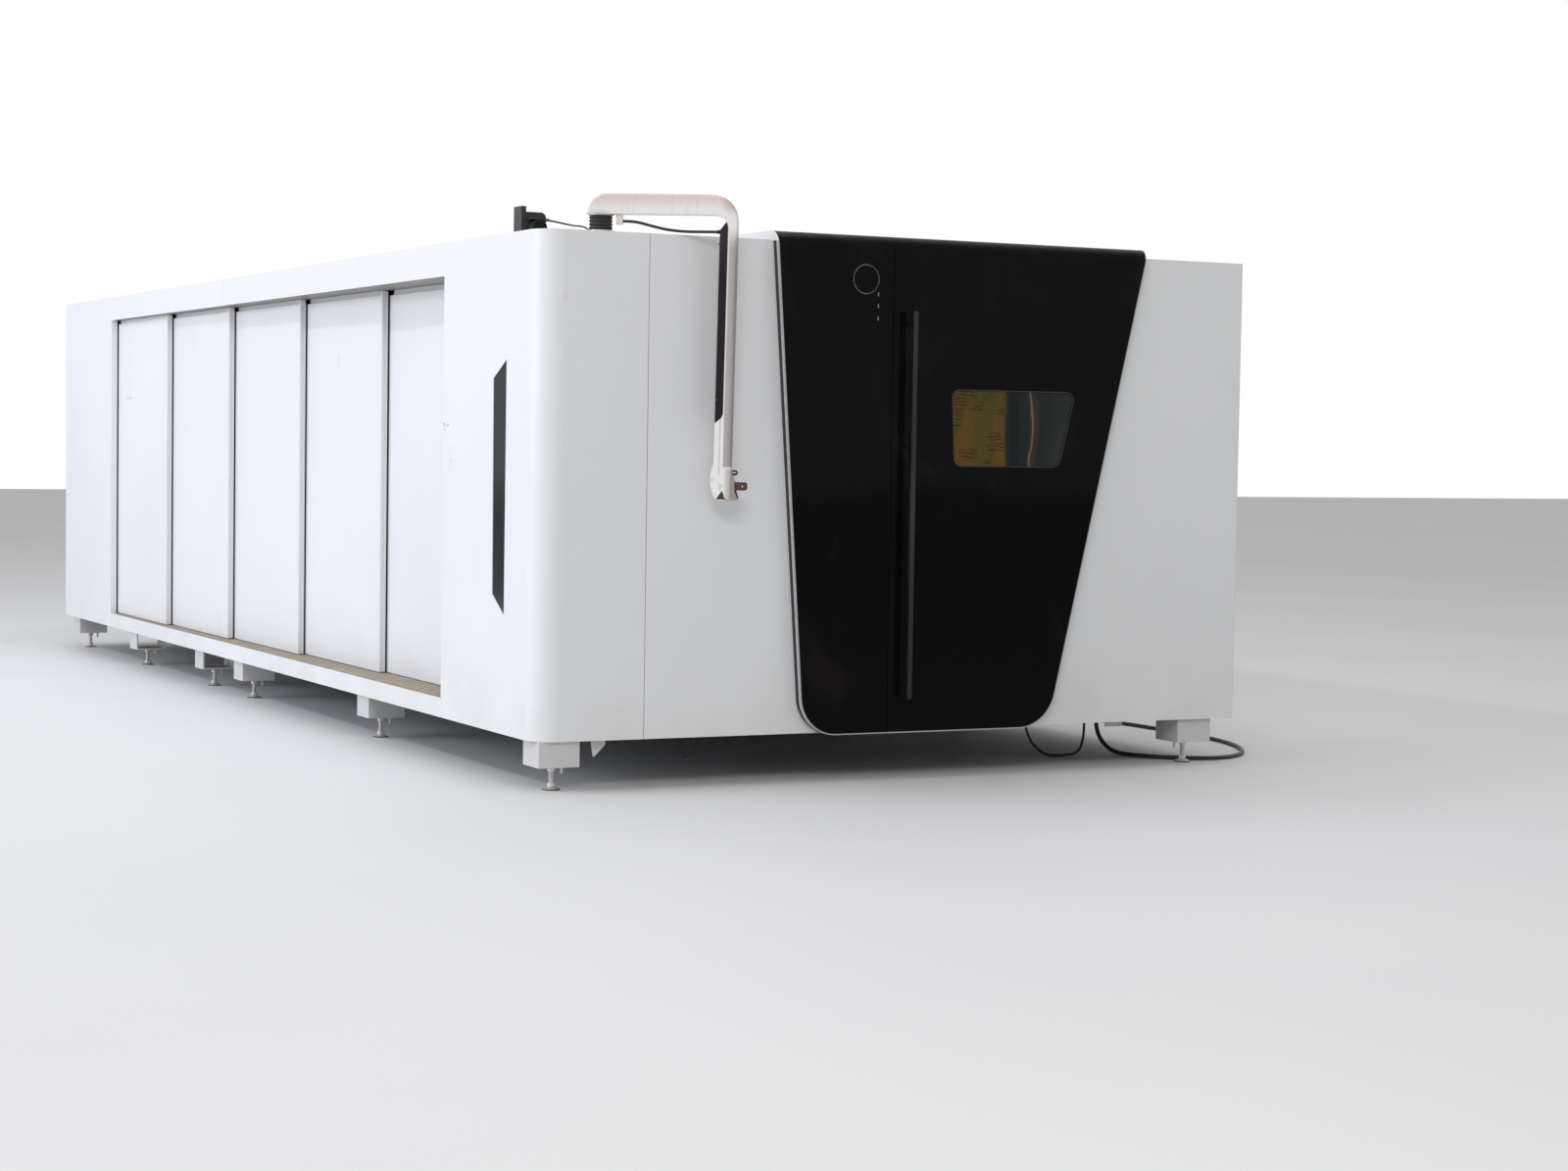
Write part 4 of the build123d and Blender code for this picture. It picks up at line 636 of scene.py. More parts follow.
def bare_metal(name, colour, roughness, grain=(1, 1, 0.06), size=0.004, metallic=1.0):
    """Ground, plated or machined metal with a grain along one direction."""
    metal = Finish(name, colour, roughness, metallic=metallic)
    metal.paint(metal.patches(0.35, 0.75, 0.05, 5), shade(colour, 0.72), 0.7)
    metal.dull(metal.patches(0.3, 0.7, size, 3, grain), min(1.0, roughness + 0.18))
    metal.relief(metal.cloud(size, 2, grain), 0.0002, 0.35)
    metal.paint(metal.dusty(0.03), METAL_DUST, 0.3)
    return metal


SILL_DUST = (0.33, 0.265, 0.195)
THICK_DUST = (0.42, 0.36, 0.28)
SOFFIT_SHADE = (0.15, 0.135, 0.11)


def dusty_track(name, colour):
    """Anodised track with brown shop dust lying thick on the sill, and painted shade on its downward faces in
    the soffit.
    """
    track = Finish(name, colour, 0.42, metallic=0.35)
    dust = track.both(track.facing(*UPWARD), track.patches(0.12, 0.45, 0.12, 6))
    track.paint(dust, SILL_DUST, 0.96)
    thick = track.both(dust, track.patches(0.5, 0.62, 0.02, 5))
    track.paint(thick, THICK_DUST, 0.7)
    # Painted shade on the downward faces of the soffit
    track.paint(track.facing(*DOWNWARD), SOFFIT_SHADE, 0.85)
    track.dull(track.facing(*UPWARD), 0.95)
    track.relief(track.cloud(0.006, 5), 0.0008, 0.5)
    return track


RUBBER_DUST = (0.26, 0.23, 0.19)


def moulded(name, colour, roughness=0.55, size=0.0012):
    """Moulded plastic or rubber with a fine grain and a little grey dust."""
    plastic = Finish(name, colour, roughness, specular=0.4)
    faded = tuple(c * 1.5 + 0.01 for c in colour)
    plastic.paint(plastic.patches(0.4, 0.75, 0.04, 5), faded, 0.5)
    dust = plastic.dusty(0.03)
    plastic.paint(dust, RUBBER_DUST, 0.5)
    plastic.relief(plastic.cloud(size, 2), 0.00012, 0.6)
    plastic.dull(plastic.patches(0.45, 0.7, 0.02, 4), min(1.0, roughness + 0.15))
    return plastic


FILM_PINK = (0.83, 0.77, 0.74)
# Painted shade on the arm: darker pink on its rounded top, brown on the elbow, grey down the hanging part's
# outer face
UPPER_SHADE_PINK = (0.72, 0.590, 0.570)
ELBOW_SHADE = (0.46, 0.350, 0.300)
DROP_SHADE = (0.400, 0.375, 0.372)
DROP_EDGE_SHADE = (0.280, 0.245, 0.245)
CREASE_PINK = (0.62, 0.53, 0.51)
# Heights where the painted shade on the upper part and on the hanging part starts, and the centre and half
# widths of the painted shade on the elbow
UPPER_SHADE_LEVELS = (2.395, 2.450)
DROP_SHADE_LEVELS = (2.335, 2.235)
ELBOW = ((0.818, -0.132, 2.440), (0.085, 0.060, 0.085))


def filmed_arm(name, colour):
    """White arm in its protective film, clouded and creased, with painted shade: darker pink on top, brown on
    the elbow, grey down the hanging part's outer face and darker at its edge.
    """
    arm = Finish(name, colour, 0.32)
    patchy = arm.patches(0.35, 0.75, 0.22, 4, (1, 1, 0.35))
    arm.paint(patchy, FILM_PINK, 0.6)
    height = arm.axis("Z")
    # Painted shade: darker pink on the arm's rounded top, brown on the elbow's outer corner
    arm.paint(arm.step(height, *UPPER_SHADE_LEVELS), UPPER_SHADE_PINK, 0.85)
    arm.paint(arm.near(*ELBOW), ELBOW_SHADE, 0.85)
    # Painted shade: grey down the hanging part's outer face, darker still towards its outer edge
    drop = arm.step(height, *DROP_SHADE_LEVELS)
    depth = arm.inside_drop()
    arm.paint(arm.both(drop, arm.step(depth, 0.0385, 0.031)), DROP_SHADE, 0.95)
    arm.paint(arm.both(drop, arm.step(depth, 0.024, 0.002)), DROP_EDGE_SHADE, 0.9)
    crease = arm.patches(0.56, 0.66, 0.045, 5, (1, 1, 0.25), 1.4)
    arm.paint(crease, CREASE_PINK, 0.22)
    arm.dull(arm.patches(0.4, 0.7, 0.03, 5), 0.5)
    arm.relief(crease, 0.0011, 0.6)
    arm.relief(arm.cloud(0.05, 3, (1, 1, 0.3)), 0.0016, 0.4)
    return arm


TIP_SHADE = (0.52, 0.47, 0.45)
TIP_EDGE_SHADE = (0.24, 0.21, 0.20)
TIP_SEAM = (0.58, 0.57, 0.59)
TIP_STAIN = (0.45, 0.43, 0.38)
# Heights and depths, in from the outer face, where the tip's painted shade, its stain and its seam start and
# end
TIP_LOW = (1.350, 1.325)
SEAM_LOW = (1.290, 1.330)
SEAM_SPAN = ((0.046, 0.049), (0.056, 0.053))


def tip_plastic(name, colour):
    """White moulded tip: painted shade greying it towards its outer edge, a stain low down, and one shallow
    seam.
    """
    tip = Finish(name, colour, 0.30)
    height, depth = tip.axis("Z"), tip.inside_drop()
    low = tip.step(height, *TIP_LOW)
    # Painted shade: grey towards the tip's outer face, darker at its edge
    tip.paint(tip.both(low, tip.step(depth, 0.036, 0.012)), TIP_SHADE, 0.8)
    tip.paint(tip.both(low, tip.step(depth, 0.010, 0.000)), TIP_EDGE_SHADE, 0.8)
    across = tip.both(tip.step(depth, *SEAM_SPAN[0]), tip.step(depth, *SEAM_SPAN[1]))
    seam = tip.both(across, tip.step(height, *SEAM_LOW))
    tip.paint(seam, TIP_SEAM, 0.8)
    stain = tip.both(low, tip.patches(0.5, 0.68, 0.03, 5))
    tip.paint(stain, TIP_STAIN, 0.45)
    tip.relief(seam, -0.0008, 0.8)
    tip.relief(tip.cloud(0.003, 2), 0.0001, 0.4)
    return tip


COVER_BLACK = (0.016, 0.014, 0.018)
COVER_RUBBED = (0.034, 0.030, 0.038)


def cable_cover(name):
    """Dull black extrusion with lengthwise rub marks."""
    cover = Finish(name, COVER_BLACK, 0.45, specular=0.10)
    rubbed = cover.patches(0.45, 0.7, 0.06, 4, (1, 1, 0.15))
    cover.paint(rubbed, COVER_RUBBED, 0.7)
    cover.relief(cover.cloud(0.004, 2), 0.0002, 0.4)
    return cover


DARK_RUST = (0.050, 0.024, 0.015)
LIGHT_RUST = (0.12, 0.055, 0.03)
BARE_EDGE = (0.28, 0.24, 0.21)


def rusty(name, colour):
    """Thin brown paint with rust coming through."""
    rust = Finish(name, colour, 0.7)
    rust.paint(rust.patches(0.42, 0.6, 0.012, 6), DARK_RUST, 0.85)
    rust.paint(rust.patches(0.6, 0.7, 0.005, 5), LIGHT_RUST, 0.8)
    rust.relief(rust.cloud(0.004, 5), 0.0005, 0.7)
    rust.paint(rust.edges(0.002), BARE_EDGE, 0.4)
    return rust


SLAT_RUST = (0.19, 0.105, 0.06)
CUT_STEEL = (0.40, 0.38, 0.36)


def spattered_slats(name, colour):
    """Mild steel slats: mill scale, rust and bright cuts and dross along the teeth."""
    slat = Finish(name, colour, 0.66, metallic=0.6)
    slat.paint(slat.patches(0.42, 0.62, 0.05, 6), SLAT_RUST, 0.7)
    slat.paint(slat.step(slat.axis("Z"), 0.78, 0.81), CUT_STEEL, 0.55)
    slat.relief(slat.cloud(0.008, 5), 0.0012, 0.7)
    return slat


def plain_light(name, colour):
    """Pale cap over a small lamp that is off."""
    cap = Finish(name, colour, 0.2)
    cap.paint(cap.patches(0.4, 0.7, 0.004, 3), shade(colour, 0.8), 0.6)
    cap.relief(cap.cloud(0.002, 2), 0.0002, 0.4)
    return cap


# Finishes on the CAD nodes


class CUTTER_OT_finishes(bpy.types.Operator):
    """Mixes every finish and lays it on the machine's solid parts"""

    bl_idname = "cutter.finishes"
    bl_label = "Coats and materials"

    def execute(self, context):
        tint = context.scene.cutter_finishes
        white = tint.white_panel
        mixed = {
            "white_panel": white_coat("white powder coat", white),
            "black_fascia": black_gloss("black gloss coat", tint.black_fascia),
            "edge_trim": banded_trim("edge trim", tint.edge_trim),
            "amber_window": amber_pane("amber pane", tint.amber_window),
            "dark_window": dark_pane("smoked pane", tint.dark_window),
            "dark_metal": painted_steel("dark metal", tint.dark_metal, 0.2),
            "light_cap": plain_light("status light cap", (0.20, 0.21, 0.20)),
            "frame_paint": painted_steel("frame paint", tint.frame_paint),
            "foot_paint": painted_steel("foot paint", tint.foot_paint, 0.5),
            "zinc": bare_metal("zinc plate", (0.68, 0.67, 0.64), 0.34, (1, 1, 1), 0.003, 0.45),
            "ground_steel": bare_metal(
                "ground steel", (0.60, 0.61, 0.62), 0.22, (1, 0.04, 1), 0.002),
            "mild_steel": spattered_slats("slat steel", (0.30, 0.27, 0.25)),
            "aluminium": bare_metal(
                "anodised aluminium", (0.66, 0.67, 0.68), 0.30, (0.05, 1, 1), 0.002),
            "track": dusty_track("dusty side track", (0.62, 0.62, 0.61)),
            "cabinet_paint": painted_steel("cabinet paint", tint.cabinet_paint, 0.3),
            "runner_plastic": moulded("runner plastic", (0.60, 0.58, 0.52), 0.45),
            "arm_paint": filmed_arm("arm film", tint.arm_paint),
            "boot_rubber": moulded("boot rubber", (0.022, 0.022, 0.023), 0.60, 0.002),
            "black_plastic": moulded("black plastic", (0.020, 0.020, 0.022), 0.42),
            "bracket_paint": rusty("rusted bracket", tint.bracket_paint),
            "cord_rubber": moulded("cord rubber", tint.cord_rubber, 0.5, 0.0015),
            "plug_plastic": moulded("plug plastic", (0.05, 0.05, 0.055), 0.40),
            "copper": bare_metal("nozzle copper", (0.72, 0.36, 0.20), 0.25, (1, 1, 1), 0.002),
            "strap": moulded("strap weave", (0.03, 0.03, 0.032), 0.75, 0.0009),
            "gap_shade_brush": moulded("brush bristles", (0.012, 0.012, 0.014), 0.85, 0.0008),
        }
        FINISHES.update((slot, finish.material) for slot, finish in mixed.items())
        special = {
            "corner_cover": marked_cover(white),
            "side_panel_4": scratched_panel("scratched coat of panel four", white, PANEL_4_MARKS),
            "side_panel_1": scratched_panel("scratched coat of panel one", white, PANEL_1_MARKS),
            "side_tracks": mixed["track"],
            "arm_tip": tip_plastic("white tip plastic", tint.arm_paint),
            "arm_cable_cover": cable_cover("black cable cover"),
            "door_handle": handle_coat("handle coat", tint.handle),
        }
        for part in frame["record"]["subparts"]:
            coat = special.get(part["node"], mixed[part["material_slot"]])
            for place in frame["nodes"][part["node"]].material_slots:
                place.material = coat.material
        return {"FINISHED"}


# Shapes

MACHINE = Matrix.Translation((CASING_LEFT, CASING_FRONT, 0))
ARM = MACHINE @ Matrix.Translation((*ARM_POST, 0)) @ Matrix.Rotation(ARM_HEADING, 4, "Z")
SMOOTH_BELOW = math.radians(32)


def axis_frame(place, axis):
    """A frame at a place whose Z runs along an axis."""
    turn = Vector(axis).to_track_quat("Z", "Y").to_matrix().to_4x4()
    return Matrix.Translation(place) @ turn


class Shape:
    """One piece's mesh, put together from bevelled blocks, turned parts, prisms and pipes."""

    def __init__(self):
        self.mesh = bmesh.new()

    def block(self, low, high, chamfer=0.001, segments=2):
        """A block between two corners with rounded edges."""
        low, high = Vector(low), Vector(high)
        made = bmesh.ops.create_cube(self.mesh, size=1.0)["verts"]
        centre = (low + high) / 2
        for vert in made:
            vert.co = centre + Vector(a * b for a, b in zip(vert.co, high - low))
        if chamfer:
            edges = list(dict.fromkeys(edge for vert in made for edge in vert.link_edges))
            bmesh.ops.bevel(
                self.mesh, geom=edges, offset=chamfer, segments=segments, profile=0.5, affect="EDGES")

    def turned(self, profile, place=(0, 0, 0), axis=(0, 0, 1), segments=32, turn=0.0):
        """A turned part: (radius, height) points round an axis, closed where the radius is 0."""
        frame_at = axis_frame(place, axis)
        rings = []
        for radius, height in profile:
            count = 1 if radius == 0 else segments
            rings.append([
                self.mesh.verts.new(frame_at @ Vector((
                    radius * math.cos(math.tau * (k + turn) / segments),
                    radius * math.sin(math.tau * (k + turn) / segments), height)))
                for k in range(count)])
        for below, above in zip(rings, rings[1:]):
            for k in range(segments):
                quad = [below[k % len(below)], below[(k + 1) % len(below)],
                        above[(k + 1) % len(above)], above[k % len(above)]]
                corners = list(dict.fromkeys(quad))
                if len(corners) > 2:
                    self.mesh.faces.new(corners)

    def skin(self, rings, closed=False):
        """Faces from ring to ring, which have as many points each; both ends are shut unless closed."""
        pairs = list(zip(rings, rings[1:])) + ([(rings[-1], rings[0])] if closed else [])
        for below, above in pairs:
            for j in range(len(below)):
                after = (j + 1) % len(below)
                self.mesh.faces.new([below[j], below[after], above[after], above[j]])
        if not closed:
            self.mesh.faces.new(rings[0][::-1])
            self.mesh.faces.new(rings[-1])

    def prism(self, outline, start, end, plane="XZ"):
        """An outline pushed from start to end: XZ outlines along Y, YZ outlines along X."""
        if plane == "XZ":
            rings = [[(a, level, b) for a, b in outline] for level in (start, end)]
        else:
            rings = [[(level, a, b) for a, b in outline] for level in (start, end)]
        self.skin([[self.mesh.verts.new(point) for point in ring] for ring in rings])

    def pipe(self, points, radius, segments=10, closed=False):
        """A round bar bent along the given points."""
        points = [Vector(p) for p in points]
        count = len(points)
        rings = []
        across = None
        for k, point in enumerate(points):
            before = points[k - 1] if closed or k else point
            after = points[(k + 1) % count] if closed or k < count - 1 else point
            along = (after - before).normalized()
            if across is None:
                across = along.orthogonal().normalized()
            across = (across - along * across.dot(along)).normalized()
            side = along.cross(across)
            rings.append([
                self.mesh.verts.new(
                    point + across * radius * math.cos(math.tau * j / segments)
                    + side * radius * math.sin(math.tau * j / segments))
                for j in range(segments)])
        self.skin(rings, closed)

    def cap_screw(self, place, axis, radius):
        """A socket head screw, its head standing along the axis."""
        self.turned([(0, 0), (radius, 0), (radius, radius * 0.95), (radius * 0.9, radius * 1.05),
                     (radius * 0.55, radius * 1.05)], place, axis, 20)
        self.turned([(radius * 0.55, radius * 1.05), (radius * 0.5, radius * 0.5), (0, radius * 0.5)],
                    place, axis, 6)

    def done(self, name, slot, body="casing", where=MACHINE, finish=None):
        """Shades the mesh, gives it the slot's finish or another one, and lets it ride on its body."""
        bmesh.ops.recalc_face_normals(self.mesh, faces=self.mesh.faces)
        for face in self.mesh.faces:
            face.smooth = True
        for edge in self.mesh.edges:
            edge.smooth = len(edge.link_faces) == 2 and edge.calc_face_angle(0) < SMOOTH_BELOW
        mesh = bpy.data.meshes.new(name)
        self.mesh.to_mesh(mesh)
        self.mesh.free()
        mesh.transform(where)
        piece = keep(bpy.data.objects.new(name, mesh), body, FINISHES[finish or slot])
        return piece


def row(start, pitch, count):
    """Evenly spaced stations."""
    return [start + pitch * k for k in range(count)]


def circle(centre, radius, count):
    """Evenly spaced places on a level circle, the first one half a step round."""
    x, y, z = centre
    angles = [math.tau * (k + 0.5) / count for k in range(count)]
    return [(x + radius * math.cos(angle), y + radius * math.sin(angle), z) for angle in angles]


def band(inner, outer, level, height, lip):
    """The profile of a low ring with sloping lips."""
    return [(inner, level), (outer, level + lip), (outer, level + height - lip), (inner, level + height)]


def stub(radius, straight, tip, height):
    """The profile of a short round end, tapered above its straight part."""
    return [(radius, 0), (radius, straight), (tip, height), (0, height)]


def rounded_outline(corners, radii, steps=8):
    """A polygon with each corner rounded by an arc of its own radius, as (a, b) points."""
    points = []
    count = len(corners)
    for k, (corner, radius) in enumerate(zip(corners, radii)):
        here = Vector(corner)
        back = (Vector(corners[k - 1]) - here).normalized()
        ahead = (Vector(corners[(k + 1) % count]) - here).normalized()
        half = back.angle(ahead) / 2
        centre = here + (back + ahead).normalized() * radius / math.sin(half)
        start = here + back * radius / math.tan(half) - centre
        end = here + ahead * radius / math.tan(half) - centre
        for j in range(steps + 1):
            points.append(tuple(centre + start.slerp(end, j / steps) * radius))
    return points


# Fascia and door

FASCIA_FRONT = -0.060
ROUNDEL = (1.469, 2.148)
WINDOW_CORNERS = [(1.917, 1.357), (2.453, 1.357), (2.530, 1.688), (1.900, 1.688)]
WINDOW_RADII = [0.034, 0.052, 0.034, 0.034]
SEAL_RADIUS = 0.0022
# Radii and heights round the roundel's middle
DISC_PROFILE = [(0.052, 0.0), (0.052, 0.0012), (0, 0.0016)]
RING_PROFILE = [(0.0590, 0), (0.0590, 0.0016), (0.0600, 0.0024), (0.0628, 0.0024), (0.0640, 0.0016),
                (0.0640, 0)]


class CUTTER_OT_fascia(bpy.types.Operator):
    """Adds the plain roundel and the window's seal"""

    bl_idname = "cutter.fascia"
    bl_label = "Black fascia details"

    def execute(self, context):
        place = (ROUNDEL[0], FASCIA_FRONT, ROUNDEL[1])
        disc = Shape()
        disc.turned(DISC_PROFILE, place, FRONTWARD, 64)
        disc.done("roundel_disc", "black_fascia")
        ring = Shape()
        ring.turned(RING_PROFILE, place, FRONTWARD, 72)
        ring.done("roundel_ring", "dark_metal")
        seal = Shape()
        outline = rounded_outline(WINDOW_CORNERS, WINDOW_RADII)
        seal.pipe([(x, FASCIA_FRONT - 0.0002, z) for x, z in outline], SEAL_RADIUS, 8, closed=True)
        seal.done("window_seal", "boot_rubber", "door")
        return {"FINISHED"}


# Levelling feet

FOOT_ROWS = (0.120, 3.266)
FOOT_STATIONS = [0.110, 2.290, 4.450, 5.260, 6.805, 8.350]
STUD_LOW = 0.0145
STUD_TOP = 0.098
THREAD_PITCH = 0.0025
THREAD_ROOT = 0.0100
THREAD_CREST = 0.0107
PAD_RING = [(0.0362, 0.0004), (0.0374, 0.0016), (0.0374, 0.0046), (0.0362, 0.0056)]


class CUTTER_OT_feet(bpy.types.Operator):
    """Cuts threads on the levelling studs and puts rubber rings under their pads"""

    bl_idname = "cutter.feet"
    bl_label = "Levelling feet"

    def execute(self, context):
        thread = []
        for k in range(round((STUD_TOP - STUD_LOW) / THREAD_PITCH)):
            level = STUD_LOW + k * THREAD_PITCH
            thread += [(THREAD_ROOT, level), (THREAD_CREST, level + THREAD_PITCH * 0.45),
                       (THREAD_CREST, level + THREAD_PITCH * 0.6)]
        thread.append((THREAD_ROOT, STUD_TOP))
        threads, soles = Shape(), Shape()
        for x in FOOT_ROWS:
            for y in FOOT_STATIONS:
                threads.turned(thread, (x, y, 0), UP, 20)
                soles.turned(PAD_RING, (x, y, 0), UP, 36)
        threads.done("stud_threads", "zinc")
        soles.done("pad_rings", "boot_rubber")
        return {"FINISHED"}


# Swing arm and roof camera

# Base and boot of the arm
ARM_BASE_TOP = 2.308
ARM_UNDER = 2.380
BASE_SCREWS = 6
BASE_SCREW_CIRCLE = 0.056
BASE_SCREW_HEAD = 0.0045
BOOT_RADIUS = 0.0500
BAND_HEIGHT = 0.004
BAND_LEVELS = (ARM_BASE_TOP + 0.0015, ARM_UNDER - 0.0055)
BUCKLE_REACH = (0.0495, 0.0555)
BUCKLE_HALF = 0.005
BUCKLE_RISE = 0.0002

# Tip, clevis and cable cover of the arm
TIP_SLOPE_START = 0.531
TIP_SLOPE = 24 / 85
# Reach along the arm and height of the slot's and the clevis toe's corners
SLOT_OUTLINE = [(0.494, 1.209), (TIP_SLOPE_START, 1.209), (0.540, 1.209), (0.5205, 1.245)]
SLOT_DEPTHS = (-0.0304, -0.0290)
TOE_OUTLINE = [(0.5705, 1.249), (0.5765, 1.249), (0.5875, 1.214), (0.5800, 1.214)]
TOE_HALF = 0.013
CLEVIS_FRONT = 0.5765
CLEVIS_SCREW_SIDES = (-0.012, 0.012)
CLEVIS_SCREW_LEVELS = (1.2555, 1.2725)
CLEVIS_SCREW_HEAD = 0.0032
# The cable cover's face, the way it looks, and its screws
COVER_FACE = (0.4948, -0.0266)
COVER_LOOKS = (-0.2, -1, 0)
COVER_SCREW_LEVELS = (1.62, 1.95, 2.26)
COVER_SCREW = [(0, 0), (0.0036, 0), (0.0036, 0.0007), (0.0022, 0.0012), (0, 0.0012)]
EYELET_RADIUS = 0.0045
EYELET_LINE = [(0.560, 1.3265), (0.572, 1.3275), (0.5790, 1.3245), (0.5810, 1.3200), (0.5790, 1.3155),
               (0.572, 1.3125), (0.560, 1.3135)]

# Roof camera
ROOF_LENS = (0.264, 0.705, 2.352)
# Radii and distances: hood and glass from the camera's front, nut and sleeve from the cord's start
HOOD_PROFILE = [(0, 0), (0.034, 0), (0.034, 0.012), (0.031, 0.014), (0.031, 0.030), (0.034, 0.034),
                (0.034, 0.044), (0.030, 0.044), (0.027, 0.030), (0.024, 0.028)]
GLASS_PROFILE = [(0, 0.031), (0.012, 0.0305), (0.020, 0.029), (0.026, 0.0262)]
NUT_PROFILE = [(0.0045, 0.0), (0.0100, 0.0), (0.0100, 0.006), (0.0085, 0.0075), (0.0045, 0.0075)]
NUT_SLEEVE = [(0.0043, 0.007), (0.0078, 0.007), (0.0060, 0.020), (0.0046, 0.024), (0.0043, 0.024)]
# The visor's corners and the hood's screws, from the lens's middle
VISOR = ((-0.043, -0.050, 0.0355), (0.043, 0.004, 0.0395))
HOOD_SCREW_SIDES = (-0.039, 0.039)
HOOD_SCREW_RISES = (-0.044, 0.048)
HOOD_SCREW_HEAD = 0.0028


class CUTTER_OT_arm(bpy.types.Operator):
    """Adds the swing arm's fixings, tip slot and eyelet, clevis screws and boot bands"""

    bl_idname = "cutter.arm"
    bl_label = "Swing arm fittings"

    def execute(self, context):
        base = Shape()
        for place in circle((0, 0, ARM_BASE_TOP), BASE_SCREW_CIRCLE, BASE_SCREWS):
            base.cap_screw(place, UP, BASE_SCREW_HEAD)
        base.done("arm_base_screws", "zinc", where=ARM)
        bands = Shape()
        for level in BAND_LEVELS:
            bands.turned(band(BOOT_RADIUS, 0.0513, level, BAND_HEIGHT, 0.0004), segments=48)
            bands.block((BUCKLE_REACH[0], -BUCKLE_HALF, level - BUCKLE_RISE),
                        (BUCKLE_REACH[1], BUCKLE_HALF, level + BAND_HEIGHT + BUCKLE_RISE), 0.0006)
        bands.done("boot_bands", "zinc", where=ARM)
        slot = Shape()
        slot.prism(SLOT_OUTLINE, *SLOT_DEPTHS)
        for vert in slot.mesh.verts:
            vert.co.y += max(0.0, TIP_SLOPE_START - vert.co.x) * TIP_SLOPE
        slot.done("tip_slot", "black_plastic", "arm", ARM)
        eye = Shape()
        eye.pipe([(x, 0, z) for x, z in EYELET_LINE], EYELET_RADIUS)
        eye.done("tip_eyelet", "dark_metal", "arm", ARM)
        toe = Shape()
        toe.prism(TOE_OUTLINE, -TOE_HALF, TOE_HALF)
        toe.done("clevis_toe", "black_plastic", "arm", ARM)
        screws = Shape()
        for side in CLEVIS_SCREW_SIDES:
            for level in CLEVIS_SCREW_LEVELS:
                screws.cap_screw((CLEVIS_FRONT, side, level), RIGHTWARD, CLEVIS_SCREW_HEAD)
        screws.done("clevis_screws", "zinc", "arm", ARM)
        cover = Shape()
        for level in COVER_SCREW_LEVELS:
            cover.turned(COVER_SCREW, (*COVER_FACE, level), COVER_LOOKS, 20)
        cover.done("cover_screws", "dark_metal", "arm", ARM)
        return {"FINISHED"}


class CUTTER_OT_roof_camera(bpy.types.Operator):
    """Gives the roof camera its lens, hood, screws and cord nut"""

    bl_idname = "cutter.roof_camera"
    bl_label = "Roof camera fittings"

    def execute(self, context):
        x, y, z = ROOF_LENS
        body = Shape()
        body.turned(HOOD_PROFILE, ROOF_LENS, FRONTWARD, 48)
        low, high = [Vector(ROOF_LENS) + Vector(corner) for corner in VISOR]
        body.block(low, high, 0.0012)
        for side in HOOD_SCREW_SIDES:
            for rise in HOOD_SCREW_RISES:
                body.cap_screw((x + side, y, z + rise), FRONTWARD, HOOD_SCREW_HEAD)
        body.done("roof_camera_hood", "black_plastic")
        glass = Shape()
        glass.turned(GLASS_PROFILE, ROOF_LENS, FRONTWARD, 40)
        glass.done("roof_camera_glass", "dark_window")
        nut = Shape()
        nut.turned(NUT_PROFILE, CAMERA_ROUTE[0], RIGHTWARD, 6)
        nut.turned(NUT_SLEEVE, CAMERA_ROUTE[0], RIGHTWARD, 24)
        nut.done("roof_camera_nut", "black_plastic")
        return {"FINISHED"}


# Enclosure

# Left side
CORNER_INSIDE = 0.0035
CORNER_EDGE = 0.236
TRACK_FRONT = 1.085
TRACK_UNDER = 2.155
PANEL_LOW = 0.301
PANEL_TOP = 2.130
PANEL_THICK = 0.030
FLANGE_EDGE = 0.035
FLANGE_BACK = 0.030

# Rear doors, their seams and louvres
DOORS_SPAN = (0.42, 3.05)
DOORS_LOW = 0.44
DOORS_TOP = 2.16
DOOR_SEAM = 0.004
SEAL_HALF = 0.014
LOUVRE_COLUMNS = ((0.66, 1.56), (1.92, 2.82))
LOUVRE_ROWS = ((0.62, 0.98), (1.66, 2.02))
LOUVRE_PITCH = 0.036

# Right side
SHEETS = 3
# Where the locks stand along a sheet's length, and their heights
LOCK_SHARES = (0.06, 0.94)
LOCK_HEIGHTS = (0.42, 1.25, 2.08)
LOCK_PROFILE = [(0.0, 0), (0.019, 0), (0.019, 0.002), (0.016, 0.0042), (0.011, 0.0046), (0.011, 0.0030),
                (0, 0.0030)]
# The raised grip across a lock, its lowest and highest corners from the lock's middle
LOCK_GRIP = ((0.003, -0.0016, -0.010), (0.0052, 0.0016, 0.010))
EDGE_SCREWS = 9
EDGE_SCREW_HEIGHTS = (0.245, 2.265)
EDGE_SCREW_PROFILE = [(0, 0), (0.0062, 0), (0.0052, 0.0022), (0.0026, 0.0030), (0.0022, 0.0012),
                      (0, 0.0012)]
# Where the vents' middles lie, counted in sheets from the front
VENT_PLACES = (2.35, 2.75)
VENT_HALF = 0.20
VENT_LOW = 0.62
VENT_PITCH = 0.034
VENT_BLADES = 11
# How far a blade's corners stand out from the sheet, and their heights over its lower edge
BLADE_OUTLINE = [(0, 0), (0.008, 0.004), (0.009, 0.007), (0.001, 0.024), (0, 0.024)]

# Roof
ROOF_SEAM = 4.683
SEAM_COVER_THICK = 0.003
SEAM_COVER_HALF = 0.035
SEAM_COVER_TOP_HALF = 0.031
SEAM_COVER_INSET = 0.02
LIFTING_INSET = 0.30
LIFTING_STATIONS = (1.35, 3.70, 5.70, 8.05)
LIFTING_CAP = [(0, 0.006), (0.020, 0.006), (0.024, 0.004), (0.045, 0.004), (0.048, 0)]
ROOF_SCREW_SIDES = (0.06, CASE_WIDTH - 0.06)
